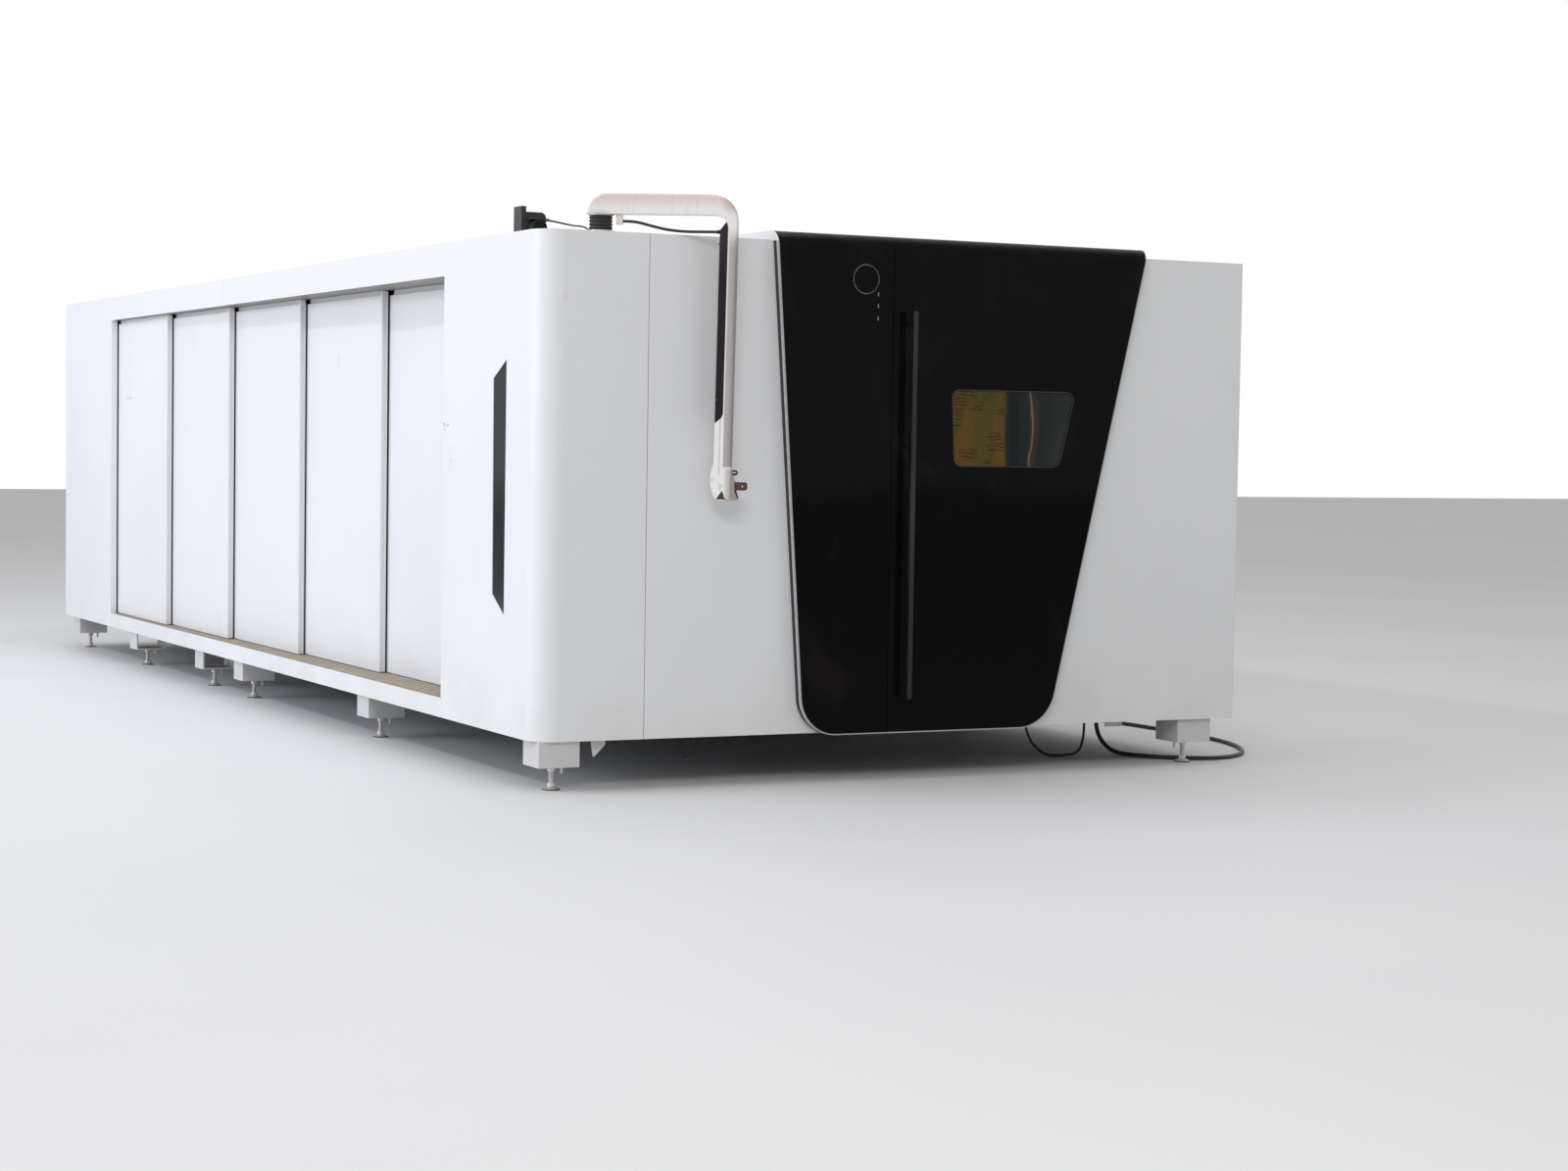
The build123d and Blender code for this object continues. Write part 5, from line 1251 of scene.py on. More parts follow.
# Start, spacing and count of the roof's screws in a row along the casing and in one across it
ROOF_SCREW_LONG_ROW = (0.50, 0.42, 20)
ROOF_SCREW_CROSS_ROW = (0.30, 0.41, 8)
ROOF_SCREW_STATIONS = (8.53, ROOF_SEAM - 0.02, ROOF_SEAM + 0.02)
ROOF_SCREW = [(0.0075, 0), (0.0066, 0.0026), (0.0035, 0.0038), (0.0028, 0.0016), (0, 0.0016)]

# Underside, from the casing's lower edge down
BELOW = 0.209
GUSSET_OUTLINE = [(0.268, BELOW), (0.335, BELOW), (0.335, 0.186), (0.286, 0.138), (0.280, 0.138)]
GUSSET_DEPTHS = (0.048, 0.052)
# The earth tag's corners, and the places and height of its rivets
TAG = ((2.762, 0.0, 0.190), (2.856, 0.003, BELOW))
TAG_RIVETS = (2.776, 2.842)
TAG_RIVET_LEVEL = 0.199
HOOK_DEPTH = 0.30
HOOK_RADIUS = 0.0045
HOOK_LINE = [(0.86, BELOW), (0.86, 0.160), (0.852, 0.112), (0.835, 0.088), (0.815, 0.086), (0.795, 0.096),
             (0.788, 0.112)]


def split_plate(shape, spans_x, spans_z, hollow, outer, inner):
    """A sheet between two depths, made of cells, with the hollow cells left out."""
    index = {}

    def corner(i, j, depth):
        """The point where two of the grid's lines cross, on the outer or the inner face."""
        key = (i, j, depth)
        if key not in index:
            index[key] = shape.mesh.verts.new((spans_x[i], (outer, inner)[depth], spans_z[j]))
        return index[key]

    cells = {(i, j) for i in range(len(spans_x) - 1) for j in range(len(spans_z) - 1)} - hollow
    for i, j in sorted(cells):
        around = [(i, j), (i + 1, j), (i + 1, j + 1), (i, j + 1)]
        for depth in (0, 1):
            shape.mesh.faces.new([corner(a, b, depth) for a, b in around])
        for k, beside in enumerate([(i, j - 1), (i + 1, j), (i, j + 1), (i - 1, j)]):
            if beside not in cells:
                a, b = around[k], around[(k + 1) % 4]
                shape.mesh.faces.new([corner(*a, 0), corner(*b, 0), corner(*b, 1), corner(*a, 1)])


def gap_shade_brush(name, x, y, body="casing"):
    """A holder on the edge at x, y with bristles reaching towards the next panel; their black also stands in
    for the shade in the gap.
    """
    strip = Shape()
    strip.block((x - 0.0002, y + 0.0008, PANEL_LOW), (x + 0.0030, y + 0.0088, PANEL_TOP), 0.0006)
    strip.block((x + 0.0028, y + 0.0022, PANEL_LOW), (x + 0.0088, y + 0.0074, PANEL_TOP), 0.0008)
    strip.done(name, "black_plastic", body, finish="gap_shade_brush")


class CUTTER_OT_side_panels(bpy.types.Operator):
    """Caps the telescoping panels' top corners and closes the gaps between them with brushes, whose black
    also stands in for the shade in the gaps
    """

    bl_idname = "cutter.side_panels"
    bl_label = "Side panel caps and brushes"

    def execute(self, context):
        plate = Shape()
        plate.block((CORNER_INSIDE, TRACK_FRONT - 0.0024, PANEL_LOW - 0.004),
                    (CORNER_EDGE, TRACK_FRONT - 0.0008, TRACK_UNDER - 0.002), 0.0004)
        plate.done("corner_return", "white_panel")
        stop = Shape()
        stop.block((CORNER_EDGE - 0.030, TRACK_FRONT - 0.0010, PANEL_LOW),
                   (CORNER_EDGE - 0.002, TRACK_FRONT + 0.0140, PANEL_TOP), 0.002)
        stop.done("corner_stop", "black_plastic", finish="gap_shade_brush")
        # Black brush seals, also standing in for the shade in the gaps between the panels
        gap_shade_brush("flange_gap_shade_brush", FLANGE_EDGE, casing_box("side_panel_1")[1].y - FLANGE_BACK)
        under_cap = PANEL_TOP - 0.0005
        for number in range(1, 6):
            low, _ = casing_box(f"side_panel_{number}")
            x, y = low.x, low.y
            body = "casing" if number == 1 else f"side_{number}"
            cap = Shape()
            cap.block((x, y, under_cap), (x + PANEL_THICK, y + 0.026, TRACK_UNDER - 0.002), 0.0015)
            cap.block((x + 0.009, y + 0.020, under_cap), (x + 0.021, y + 0.028, TRACK_UNDER - 0.005), 0.001)
            cap.done(f"panel_{number}_cap", "white_panel", body)
            if number < 5:
                gap_shade_brush(f"panel_{number}_brush", x + PANEL_THICK, y, body)
        return {"FINISHED"}


class CUTTER_OT_rear(bpy.types.Operator):
    """Rebuilds the rear sheet with its two service doors, pressed louvres and seals"""

    bl_idname = "cutter.rear"
    bl_label = "Rear service doors"

    def execute(self, context):
        low, high = casing_box("rear_panel")
        left, right = DOORS_SPAN
        middle = CASE_WIDTH / 2
        xs = [low.x, left, left + DOOR_SEAM, *LOUVRE_COLUMNS[0], middle - DOOR_SEAM / 2,
              middle + DOOR_SEAM / 2, *LOUVRE_COLUMNS[1], right - DOOR_SEAM, right, high.x]
        zs = [low.z, DOORS_LOW, DOORS_LOW + DOOR_SEAM, *LOUVRE_ROWS[0], *LOUVRE_ROWS[1],
              DOORS_TOP - DOOR_SEAM, DOORS_TOP, high.z]
        louvre_cells = {(i, j) for i in (3, 7) for j in (3, 5)}
        upright_seams = {(i, j) for i in (1, 5, 9) for j in range(2, 7)}
        level_seams = {(i, j) for i in range(1, 10) for j in (1, 7)}
        sheet = Shape()
        split_plate(sheet, xs, zs, louvre_cells | upright_seams | level_seams, high.y, low.y)
        rear = sheet.done("rear_service_sheet", "white_panel")
        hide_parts("rear_panel")
        louvres = Shape()
        back = high.y
        for start, end in LOUVRE_COLUMNS:
            for bottom, top in LOUVRE_ROWS:
                count = round((top - bottom) / LOUVRE_PITCH)
                pitch = (top - bottom) / count
                for level in row(bottom, pitch, count):
                    louvres.prism([(back - 0.001, level), (back - 0.001, level + 0.0035),
                                   (back - 0.020, level + pitch + 0.003),
                                   (back - 0.0215, level + pitch + 0.001)], start, end, "YZ")
        louvres.done("rear_louvres", "white_panel")
        strips = Shape()
        deep, flush = low.y - 0.003, low.y - 0.0005
        for x in (left, middle, right):
            strips.block((x - SEAL_HALF, deep, DOORS_LOW), (x + SEAL_HALF, flush, DOORS_TOP), 0.0005)
        for z in (DOORS_LOW, DOORS_TOP - 0.002):
            strips.block((left - 0.01, deep - 0.003, z - SEAL_HALF),
                         (right + 0.01, flush - 0.003, z + SEAL_HALF), 0.0005)
        strips.done("rear_door_seals", "boot_rubber")
        return {"FINISHED"}


class CUTTER_OT_right_side(bpy.types.Operator):
    """Fits the right side's lift-out sheets with quarter-turn locks, edge screws and two vents"""

    bl_idname = "cutter.right_side"
    bl_label = "Right side fittings"

    def execute(self, context):
        locks, screws, vents = Shape(), Shape(), Shape()
        low, high = casing_box("right_side_panels")
        span = (high.y - low.y) / SHEETS
        for index in range(SHEETS):
            for share in LOCK_SHARES:
                for z in LOCK_HEIGHTS:
                    place = Vector((CASE_WIDTH, low.y + span * (index + share), z))
                    locks.turned(LOCK_PROFILE, place, RIGHTWARD, 36)
                    grip_low, grip_high = [place + Vector(corner) for corner in LOCK_GRIP]
                    locks.block(grip_low, grip_high, 0.0005)
            for k in range(EDGE_SCREWS):
                y = low.y + span * (index + (k + 0.5) / EDGE_SCREWS)
                for z in EDGE_SCREW_HEIGHTS:
                    screws.turned(EDGE_SCREW_PROFILE, (CASE_WIDTH, y, z), RIGHTWARD, 18)
        for share in VENT_PLACES:
            centre = low.y + span * share
            for z in row(VENT_LOW, VENT_PITCH, VENT_BLADES):
                blade = [(CASE_WIDTH + out, z + rise) for out, rise in BLADE_OUTLINE]
                vents.prism(blade, centre - VENT_HALF, centre + VENT_HALF)
        locks.done("right_side_locks", "dark_metal")
        screws.done("right_side_screws", "zinc")
        vents.done("right_side_vents", "white_panel")
        return {"FINISHED"}


class CUTTER_OT_roof(bpy.types.Operator):
    """Covers the roof's seam and lifting points and screws its sheets down"""

    bl_idname = "cutter.roof"
    bl_label = "Roof fittings"

    def execute(self, context):
        seam, caps, screws = Shape(), Shape(), Shape()
        cover_top = CASE_TOP + SEAM_COVER_THICK
        seam.prism([(ROOF_SEAM - SEAM_COVER_HALF, CASE_TOP), (ROOF_SEAM - SEAM_COVER_TOP_HALF, cover_top),
                    (ROOF_SEAM + SEAM_COVER_TOP_HALF, cover_top), (ROOF_SEAM + SEAM_COVER_HALF, CASE_TOP)],
                   SEAM_COVER_INSET, CASE_WIDTH - SEAM_COVER_INSET, "YZ")
        seam.done("roof_seam_cover", "white_panel")
        for x in (LIFTING_INSET, CASE_WIDTH - LIFTING_INSET):
            for y in LIFTING_STATIONS:
                caps.turned(LIFTING_CAP, (x, y, CASE_TOP), UP, 40)
        caps.done("lifting_point_caps", "black_plastic")
        places = [(x, y) for x in ROOF_SCREW_SIDES for y in row(*ROOF_SCREW_LONG_ROW)]
        places += [(x, y) for y in ROOF_SCREW_STATIONS for x in row(*ROOF_SCREW_CROSS_ROW)]
        for x, y in places:
            level = cover_top if abs(y - ROOF_SEAM) < SEAM_COVER_TOP_HALF else CASE_TOP
            screws.turned(ROOF_SCREW, (x, y, level), UP, 18)
        screws.done("roof_screws", "zinc")
        return {"FINISHED"}


class CUTTER_OT_underside(bpy.types.Operator):
    """Adds the small gusset, cable hook and earth tag that hang under the front"""

    bl_idname = "cutter.underside"
    bl_label = "Underside details"

    def execute(self, context):
        gusset = Shape()
        gusset.prism(GUSSET_OUTLINE, *GUSSET_DEPTHS)
        gusset.done("front_gusset", "foot_paint")
        hook = Shape()
        hook.pipe([(x, HOOK_DEPTH, z) for x, z in HOOK_LINE], HOOK_RADIUS)
        hook.done("cable_hook", "dark_metal")
        tag = Shape()
        tag.block(*TAG, 0.0008)
        for x in TAG_RIVETS:
            tag.turned(stub(0.006, 0.003, 0.004, 0.0045), (x, 0.0, TAG_RIVET_LEVEL), FRONTWARD, 24)
        tag.done("earth_tag", "frame_paint")
        return {"FINISHED"}


# Inside the enclosure

# Rails and beam
RAIL_MIDDLE = 0.017
RAIL_BOLT_START = 0.04
RAIL_BOLT_PITCH = 0.12
BOLT_CAP = [(0, 0.0002), (0.0072, 0.0002), (0.0072, -0.0004)]
# How far the beam's cover and its screws stand in from the beam's ends and sides
BEAM_COVER_INSET = (0.10, 0.012)
BEAM_COVER_THICK = 0.004
BEAM_SCREWS = 12
BEAM_SCREW_INSET = (0.16, 0.022)

# Plate screws, and the carriage's plate and housing
PLATE_SCREW_HEAD = 0.005
PLATE_SCREW_INSET = (0.02, 0.03)
PLATE_FACE = 0.0152
PLATE_START = 0.018
PLATE_PAST = 0.05
PLATE_THICK = 0.006
HOUSING_INSET = 0.03
HOUSING_PAST = 0.02
HOUSING_RISE = 0.09

# Cutting head
HEAD_AXIS_BACK = 0.042
BARREL_RADIUS = 0.0415
RING_HEIGHT = 0.005
# Height over the head's lower end and outer radius of each ring
HEAD_RINGS = [(0.100, 0.0435), (0.155, 0.0445), (0.162, 0.0445), (0.250, 0.0435), (0.345, 0.0445),
              (0.352, 0.0445)]
# Radii and heights over the head's lower end of its inlet and of the nozzle
INLET_PROFILE = [(0.0125, 0.460), (0.0145, 0.460), (0.0145, 0.486), (0.0120, 0.490), (0.0100, 0.535),
                 (0.0, 0.535)]
NOZZLE_PROFILE = [(0.0010, -0.0005), (0.0043, -0.0003), (0.0085, 0.0118), (0.0088, 0.0160),
                  (0.0130, 0.0162), (0.0168, 0.0300), (0.0168, 0.0330), (0.0180, 0.0335), (0.0185, 0.0440)]
BARREL_TOP = 0.4585
BARREL_SCREW_CIRCLE = 0.034
BARREL_SCREWS = 4
BARREL_SCREW_HEAD = 0.003

# Cabinet doors: set in from the sides, half the gap between them, and their thickness
CABINET_DOOR_INSET = 0.012
CABINET_HALF_GAP = 0.002
CABINET_DOOR_THICK = 0.018
CABINET_DOOR_LOW = 0.05
CABINET_DOOR_TOP = 0.015
HINGE_PROFILE = [(0, -0.035), (0.007, -0.035), (0.007, 0.035), (0, 0.035)]
HINGE_FORWARD = 0.024
HINGE_INSET = 0.2
LOCK_BESIDE = 0.05
# Corners of a lock's lever, from the lock's middle on the cabinet's front
LEVER = ((-0.009, -0.029, -0.06), (0.009, -0.021, 0.012))
GRILLE_SPAN = (0.10, 0.32)
GRILLE_DEPTHS = (0.0205, 0.0175)
GRILLE_BAR = 0.007
GRILLE_RISE = 0.15
GRILLE_BARS = 9
GRILLE_PITCH = 0.018


class CUTTER_OT_gantry(bpy.types.Operator):
    """Dresses the gantry, the cross carriage and the cutting head, and bolts the rails down"""

    bl_idname = "cutter.gantry"
    bl_label = "Gantry and cutting head"

    def execute(self, context):
        self.bolt_rails()
        self.cover_beam()
        self.cover_carriage()
        self.dress_head()
        return {"FINISHED"}

    def bolt_rails(self):
        """A cap over each bolt of the two rails."""
        low, high = casing_box("gantry_rails")
        count = math.ceil((high.y - low.y - RAIL_BOLT_START) / RAIL_BOLT_PITCH)
        bolts = Shape()
        for x in (low.x + RAIL_MIDDLE, high.x - RAIL_MIDDLE):
            for y in row(low.y + RAIL_BOLT_START, RAIL_BOLT_PITCH, count):
                bolts.turned(BOLT_CAP, (x, y, high.z), UP, 16)
        bolts.done("rail_bolt_caps", "black_plastic")

    def cover_beam(self):
        """A screwed sheet on the beam's top."""
        low, high = casing_box("gantry_beam")
        sheet_top = high.z + BEAM_COVER_THICK
        ends, sides = BEAM_COVER_INSET
        beam = Shape()
        beam.block((low.x + ends, low.y + sides, high.z), (high.x - ends, high.y - sides, sheet_top), 0.001)
        ends, sides = BEAM_SCREW_INSET
        for k in range(BEAM_SCREWS):
            x = low.x + ends + (high.x - low.x - 2 * ends) * k / (BEAM_SCREWS - 1)
            for y in (low.y + sides, high.y - sides):
                beam.cap_screw((x, y, sheet_top), UP, PLATE_SCREW_HEAD)
        beam.done("beam_cover", "frame_paint", "gantry")

    def cover_carriage(self):
        """The carriage's screws, top plate and rounded cover."""
        low, high = casing_box("cross_carriage")
        plate_top = high.z + PLATE_THICK
        left, right = low.x + HOUSING_INSET, high.x - HOUSING_INSET
        plate = Shape()
        sides, ends = PLATE_SCREW_INSET
        for x in (low.x + sides, high.x - sides):
            for z in (low.z + ends, (low.z + high.z) / 2, high.z - ends):
                plate.cap_screw((x, low.y + PLATE_FACE, z), FRONTWARD, PLATE_SCREW_HEAD)
        plate.block((low.x, low.y + PLATE_START, high.z), (high.x, high.y + PLATE_PAST, plate_top), 0.0015)
        plate.block((left, low.y + HOUSING_INSET, plate_top),
                    (right, high.y + HOUSING_PAST, high.z + HOUSING_RISE), 0.012, 3)
        plate.done("carriage_cover", "cabinet_paint", "carriage")

    def dress_head(self):
        """Rings and screws of the cutting head's barrel, its inlet and the nozzle below."""
        low, high = casing_box("cutting_head")
        axis = ((low.x + high.x) / 2, low.y + HEAD_AXIS_BACK, low.z)
        head = Shape()
        for level, radius in HEAD_RINGS:
            head.turned(band(BARREL_RADIUS, radius, level, RING_HEIGHT, 0.0005), axis, UP, 48)
        barrel_top = (axis[0], axis[1], low.z + BARREL_TOP)
        for place in circle(barrel_top, BARREL_SCREW_CIRCLE, BARREL_SCREWS):
            head.cap_screw(place, UP, BARREL_SCREW_HEAD)
        head.turned(INLET_PROFILE, axis, UP, 32)
        head.done("head_rings", "dark_metal", "cutting_unit")
        nozzle = Shape()
        nozzle.turned(NOZZLE_PROFILE, axis, UP, 32)
        nozzle.done("copper_nozzle", "bracket_paint", "cutting_unit", finish="copper")


class CUTTER_OT_cabinets(bpy.types.Operator):
    """Gives the control cabinet and the laser source their doors, hinges, locks and fan grilles"""

    bl_idname = "cutter.cabinets"
    bl_label = "Control cabinet and laser source"

    def execute(self, context):
        doors, fittings = Shape(), Shape()
        for node in ("control_cabinet", "laser_source"):
            low, high = casing_box(node)
            left, right, y = low.x + CABINET_DOOR_INSET, high.x - CABINET_DOOR_INSET, low.y
            middle = (low.x + high.x) / 2
            half_up = (low.z + high.z) / 2
            face = y - CABINET_DOOR_THICK
            for start, end in ((left, middle - CABINET_HALF_GAP), (middle + CABINET_HALF_GAP, right)):
                doors.block((start, face, low.z + CABINET_DOOR_LOW),
                            (end, y - 0.0005, high.z - CABINET_DOOR_TOP), 0.003)
            for hinge, lock in ((left, middle - LOCK_BESIDE), (right, middle + LOCK_BESIDE)):
                for z in (low.z + HINGE_INSET, half_up, high.z - HINGE_INSET):
                    fittings.turned(HINGE_PROFILE, (hinge, y - HINGE_FORWARD, z), UP, 16)
                fittings.turned(stub(0.014, 0.003, 0.009, 0.005), (lock, face, half_up), FRONTWARD, 24)
                lever_low, lever_high = [Vector((lock, y, half_up)) + Vector(corner) for corner in LEVER]
                fittings.block(lever_low, lever_high, 0.003)
            start, end = [middle + along for along in GRILLE_SPAN]
            front, back = [y - depth for depth in GRILLE_DEPTHS]
            for z in row(low.z + GRILLE_RISE, GRILLE_PITCH, GRILLE_BARS):
                fittings.block((start, front, z), (end, back, z + GRILLE_BAR), 0.001)
        doors.done("cabinet_doors", "cabinet_paint")
        fittings.done("cabinet_fittings", "dark_metal")
        return {"FINISHED"}


class CUTTER_OT_plug(bpy.types.Operator):
    """Adds the plug's pins, ribs and strain reliefs, and the straps that tie the coil"""

    bl_idname = "cutter.plug"
    bl_label = "Plug, strain reliefs and coil ties"

    def execute(self, context):
        x, y, z = PLUG_END
        pins = Shape()
        for k in range(PLUG_PINS):
            angle = math.tau * k / PLUG_PINS
            place = (x - PLUG_FACE, y + PIN_CIRCLE * math.cos(angle), z + PIN_CIRCLE * math.sin(angle))
            pins.turned(stub(0.0042, 0.034, 0.0032, 0.037), place, LEFTWARD, 16)
        pins.done("plug_pins", "zinc")
        ribs = Shape()
        for level in row(*RIB_STATIONS):
            ribs.turned(band(0.0298, 0.0312, level, 0.004, 0.001), PLUG_END, LEFTWARD, 40)
        ribs.done("plug_ribs", "plug_plastic")
        relief = Shape()
        relief.turned([(RELIEF_BORE, -RELIEF_LENGTH), (0.0115, -RELIEF_LENGTH), (0.0150, 0.0),
                       (RELIEF_BORE, 0.0)], PLUG_END, LEFTWARD)
        for k in range(RELIEF_RINGS):
            relief.turned(band(0.0112, 0.0136 + k * 0.0006, k * 0.008 - 0.040, 0.004, 0.001),
                          PLUG_END, LEFTWARD)
        relief.done("plug_strain_relief", "boot_rubber")
        sleeves = Shape()
        for route, radius in ((SUPPLY_ROUTE, 0.010), (HOSE_ROUTE, 0.006), (HOSE_ROUTE[::-1], 0.006)):
            bore = radius + 0.0001
            sleeves.turned([(bore, 0), (radius * 1.42, 0), (radius * 1.12, 0.034), (bore, 0.034)],
                           route[0], DOWN)
        sleeves.done("gland_sleeves", "boot_rubber")
        ties = Shape()
        for k in range(COIL_TIES):
            ties_at(ties, FIRST_TIE + math.tau * k / COIL_TIES)
        ties.done("coil_ties", "black_plastic", finish="strap")
        return {"FINISHED"}


def ties_at(shape, angle):
    """One strap round the coil's bundle, standing in the coil's radial plane."""
    (inner, outer), (low, high) = STRAP_REACH, STRAP_HEIGHTS
    loop = rounded_outline([(inner, low), (outer, low), (outer, high), (inner, high)], [STRAP_CORNER] * 4)
    centre = Vector((*COIL_CENTRE, 0))
    out = Vector((math.cos(angle), math.sin(angle), 0))
    along = Vector((-math.sin(angle), math.cos(angle), 0)) * STRAP_HALF
    core = centre + out * (inner + outer) / 2 + Vector((0, 0, BUNDLE_MIDDLE))
    rings = []
    for a, b in loop:
        under = centre + out * a + Vector((0, 0, b))
        over = under + (under - core).normalized() * STRAP_THICK
        section = (under - along, under + along, over + along, over - along)
        rings.append([shape.mesh.verts.new(point) for point in section])
    shape.skin(rings, closed=True)


# Cords


class CUTTER_OT_cords(bpy.types.Operator):
    """Lays the supply cable with its coil, the air hose, the camera cord and the console cord"""

    bl_idname = "cutter.cords"
    bl_label = "Free cords"

    def execute(self, context):
        sizes = context.scene.cutter_cords
        rubber = FINISHES["cord_rubber"]
        supply = [*SUPPLY_ROUTE, *coil_points(sizes.supply), *PLUG_TAIL]
        supply_cable = route_curve(
            "supply_cable_run", [at_casing(*p) for p in supply], sizes.supply, "casing", rubber)
        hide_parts("supply_cable", "supply_cable_coil", "supply_cable_tail")
        hose = route_curve("air_hose_loop", [at_casing(*p) for p in HOSE_ROUTE], sizes.hose, "casing", rubber)
        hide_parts("air_hose")
        camera_cord = route_curve(
            "roof_camera_cord", [at_casing(*p) for p in CAMERA_ROUTE], sizes.camera, "casing", rubber)
        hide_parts("camera_cord")
        console = route_curve(
            "console_cord", [along_arm(*p) for p in CONSOLE_ROUTE], sizes.console, "arm", rubber)
        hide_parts("arm_cord")
        return {"FINISHED"}


# Studio

FLOOR_HALF = 60
SENSOR_WIDTH = 36
VIEW_DEPTH = 200
# Strength of the air's light on the machine, where 1 is white
AIR_STRENGTH = 0.45
# Name, place, aim, size, watts and colour of each lamp
LAMPS = [
    ("low left light", (-15.0, 4.6, 5.0), (0.0, 4.2, 1.1), (12.0, 6.0), 1085, (0.835, 0.88, 1.0)),
    ("high left light", (-10.5, 4.2, 12.0), (0.0, 4.2, 1.2), (14.0, 0.8), 490, (0.85, 0.89, 1.0)),
    ("front light", (-4.0, -9.5, 7.0), (1.4, 0.0, 1.2), (4.5, 2.5), 288, (1.0, 0.975, 0.95)),
    ("top light", (1.6, 4.0, 11.0), (1.6, 4.0, 0.0), (8.0, 12.0), 300, (1.0, 1.0, 1.0)),
]


def pale_floor():
    """A plain pale floor that shows white and keeps the machine's shadow."""
    floor = Finish("studio floor", (0.80, 0.80, 0.80), 0.65, specular=0.2)
    floor.paint(floor.step(floor.cloud(2.5, 3), 0.35, 0.7), (0.77, 0.77, 0.775), 0.7)
    floor.relief(floor.cloud(0.01, 3), 0.0003, 0.4)
    return floor


def studio_air():
    """Even light from all round, seen as white by the camera and in reflections."""
    world = bpy.data.worlds.new("studio")
    world.use_nodes = True
    nodes, links = world.node_tree.nodes, world.node_tree.links
    back = nodes["Background"]
    back.inputs["Color"].default_value = (1, 1, 1, 1)
    path = nodes.new("ShaderNodeLightPath")
    seen = path.outputs["Is Camera Ray"]
    for ray in ("Is Glossy Ray", "Is Transmission Ray"):
        either = nodes.new("ShaderNodeMath")
        either.operation = "MAXIMUM"
        links.new(seen, either.inputs[0])
        links.new(path.outputs[ray], either.inputs[1])
        seen = either.outputs["Value"]
    strength = nodes.new("ShaderNodeMapRange")
    strength.inputs["To Min"].default_value = AIR_STRENGTH
    strength.inputs["To Max"].default_value = 1.0
    links.new(seen, strength.inputs["Value"])
    links.new(strength.outputs["Result"], back.inputs["Strength"])
    return world


def camera_frame(view):
    """The camera's place and turn, from its heading, dip and roll."""
    forward = Vector((math.sin(view.heading), math.cos(view.heading), 0))
    right = Vector((math.cos(view.heading), -math.sin(view.heading), 0))
    up = Vector(UP)
    look = forward * math.cos(view.dip) - up * math.sin(view.dip)
    crown = up * math.cos(view.dip) + forward * math.sin(view.dip)
    side = right * math.cos(view.roll) + crown * math.sin(view.roll)
    crown = crown * math.cos(view.roll) - right * math.sin(view.roll)
    return Matrix.Translation(view.place) @ Matrix((side, crown, -look)).transposed().to_4x4()


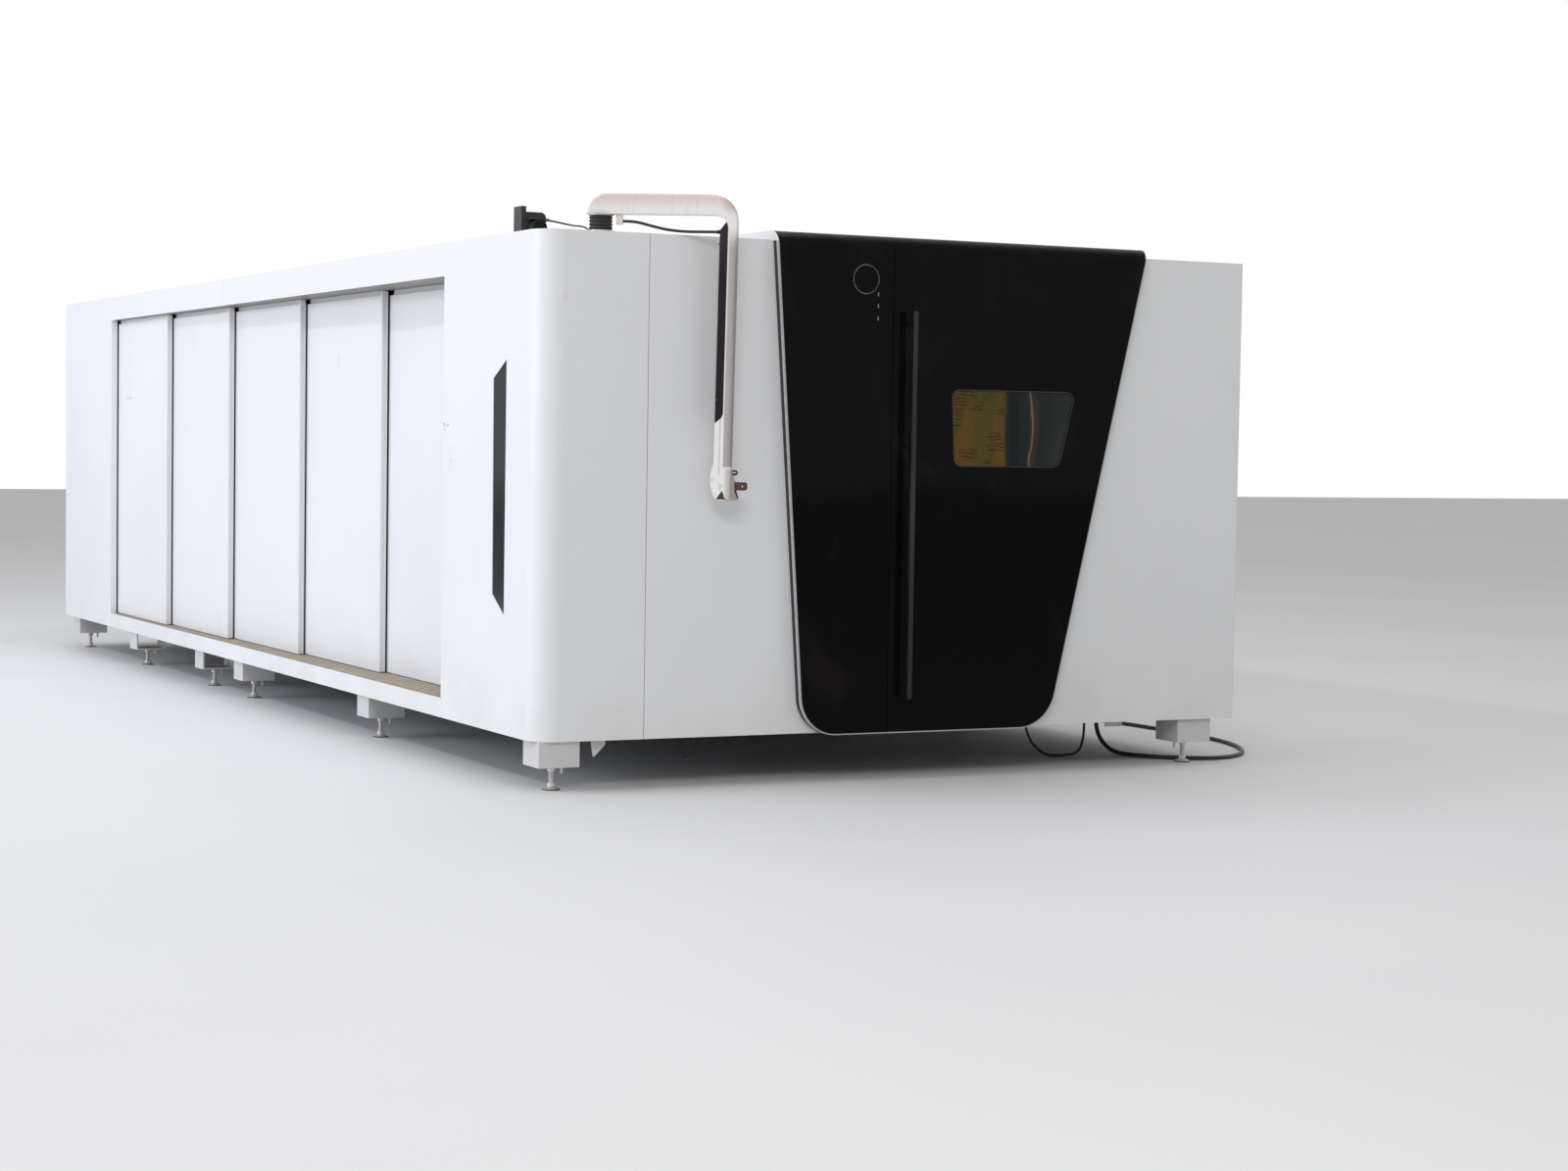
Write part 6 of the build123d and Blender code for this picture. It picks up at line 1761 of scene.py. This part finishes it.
class CUTTER_OT_stage(bpy.types.Operator):
    """Sets the floor, the soft studio light and the camera"""

    bl_idname = "cutter.stage"
    bl_label = "Studio"

    def execute(self, context):
        scene = context.scene
        camera = bpy.data.objects.new("camera", bpy.data.cameras.new("camera"))
        scene.collection.objects.link(camera)
        camera.data.lens = scene.cutter_camera.lens
        camera.data.sensor_width = SENSOR_WIDTH
        camera.data.clip_end = VIEW_DEPTH
        camera.matrix_world = camera_frame(scene.cutter_camera)
        scene.camera = camera

        corners = [(a * FLOOR_HALF, b * FLOOR_HALF, 0) for a, b in ((-1, -1), (1, -1), (1, 1), (-1, 1))]
        floor_mesh = bpy.data.meshes.new("floor")
        floor_mesh.from_pydata(corners, [], [(0, 1, 2, 3)])
        floor = bpy.data.objects.new("floor", floor_mesh)
        scene.collection.objects.link(floor)
        floor_mesh.materials.append(pale_floor().material)

        for name, place, aim, size, power, tint in LAMPS:
            data = bpy.data.lights.new(name, "AREA")
            data.shape = "RECTANGLE"
            data.size, data.size_y = size
            data.energy = power
            data.color = tint
            lamp = bpy.data.objects.new(name, data)
            scene.collection.objects.link(lamp)
            lamp.location = place
            lamp.rotation_euler = (Vector(aim) - Vector(place)).to_track_quat("-Z", "Y").to_euler()
        scene.world = studio_air()
        scene.view_settings.view_transform = "Standard"
        return {"FINISHED"}


OPERATORS = [
    CUTTER_OT_finishes, CUTTER_OT_stage, CUTTER_OT_plug, CUTTER_OT_cords, CUTTER_OT_fascia, CUTTER_OT_feet,
    CUTTER_OT_arm, CUTTER_OT_roof_camera, CUTTER_OT_side_panels, CUTTER_OT_rear, CUTTER_OT_right_side,
    CUTTER_OT_roof, CUTTER_OT_underside, CUTTER_OT_gantry, CUTTER_OT_cabinets,
]


class CUTTER_PT_pieces(bpy.types.Panel):
    """The machine's pieces and the values that shape them"""

    bl_label = "Laser cutting machine"
    bl_idname = "CUTTER_PT_pieces"
    bl_space_type = "VIEW_3D"
    bl_region_type = "UI"
    bl_category = "Machine"

    def draw(self, context):
        for key, group in GROUPS:
            box = self.layout.box()
            for name in group.__annotations__:
                box.prop(getattr(context.scene, key), name)
        for operator in OPERATORS:
            self.layout.operator(operator.bl_idname)


CLASSES = [group for _, group in GROUPS] + OPERATORS + [CUTTER_PT_pieces]


def register():
    """Makes the classes and the scene's settings known."""
    for cls in CLASSES:
        bpy.utils.register_class(cls)
    for key, group in GROUPS:
        setattr(bpy.types.Scene, key, PointerProperty(type=group))


def unregister():
    """Takes the classes and the scene's settings away again."""
    for key, _ in GROUPS:
        delattr(bpy.types.Scene, key)
    for cls in reversed(CLASSES):
        bpy.utils.unregister_class(cls)


def main():
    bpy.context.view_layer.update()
    register()
    bpy.ops.cutter.finishes()
    bpy.ops.cutter.stage()
    bpy.ops.cutter.plug()
    bpy.ops.cutter.cords()
    bpy.ops.cutter.fascia()
    bpy.ops.cutter.feet()
    bpy.ops.cutter.arm()
    bpy.ops.cutter.roof_camera()
    bpy.ops.cutter.side_panels()
    bpy.ops.cutter.rear()
    bpy.ops.cutter.right_side()
    bpy.ops.cutter.roof()
    bpy.ops.cutter.underside()
    bpy.ops.cutter.gantry()
    bpy.ops.cutter.cabinets()


if __name__ == "__main__":
    main()
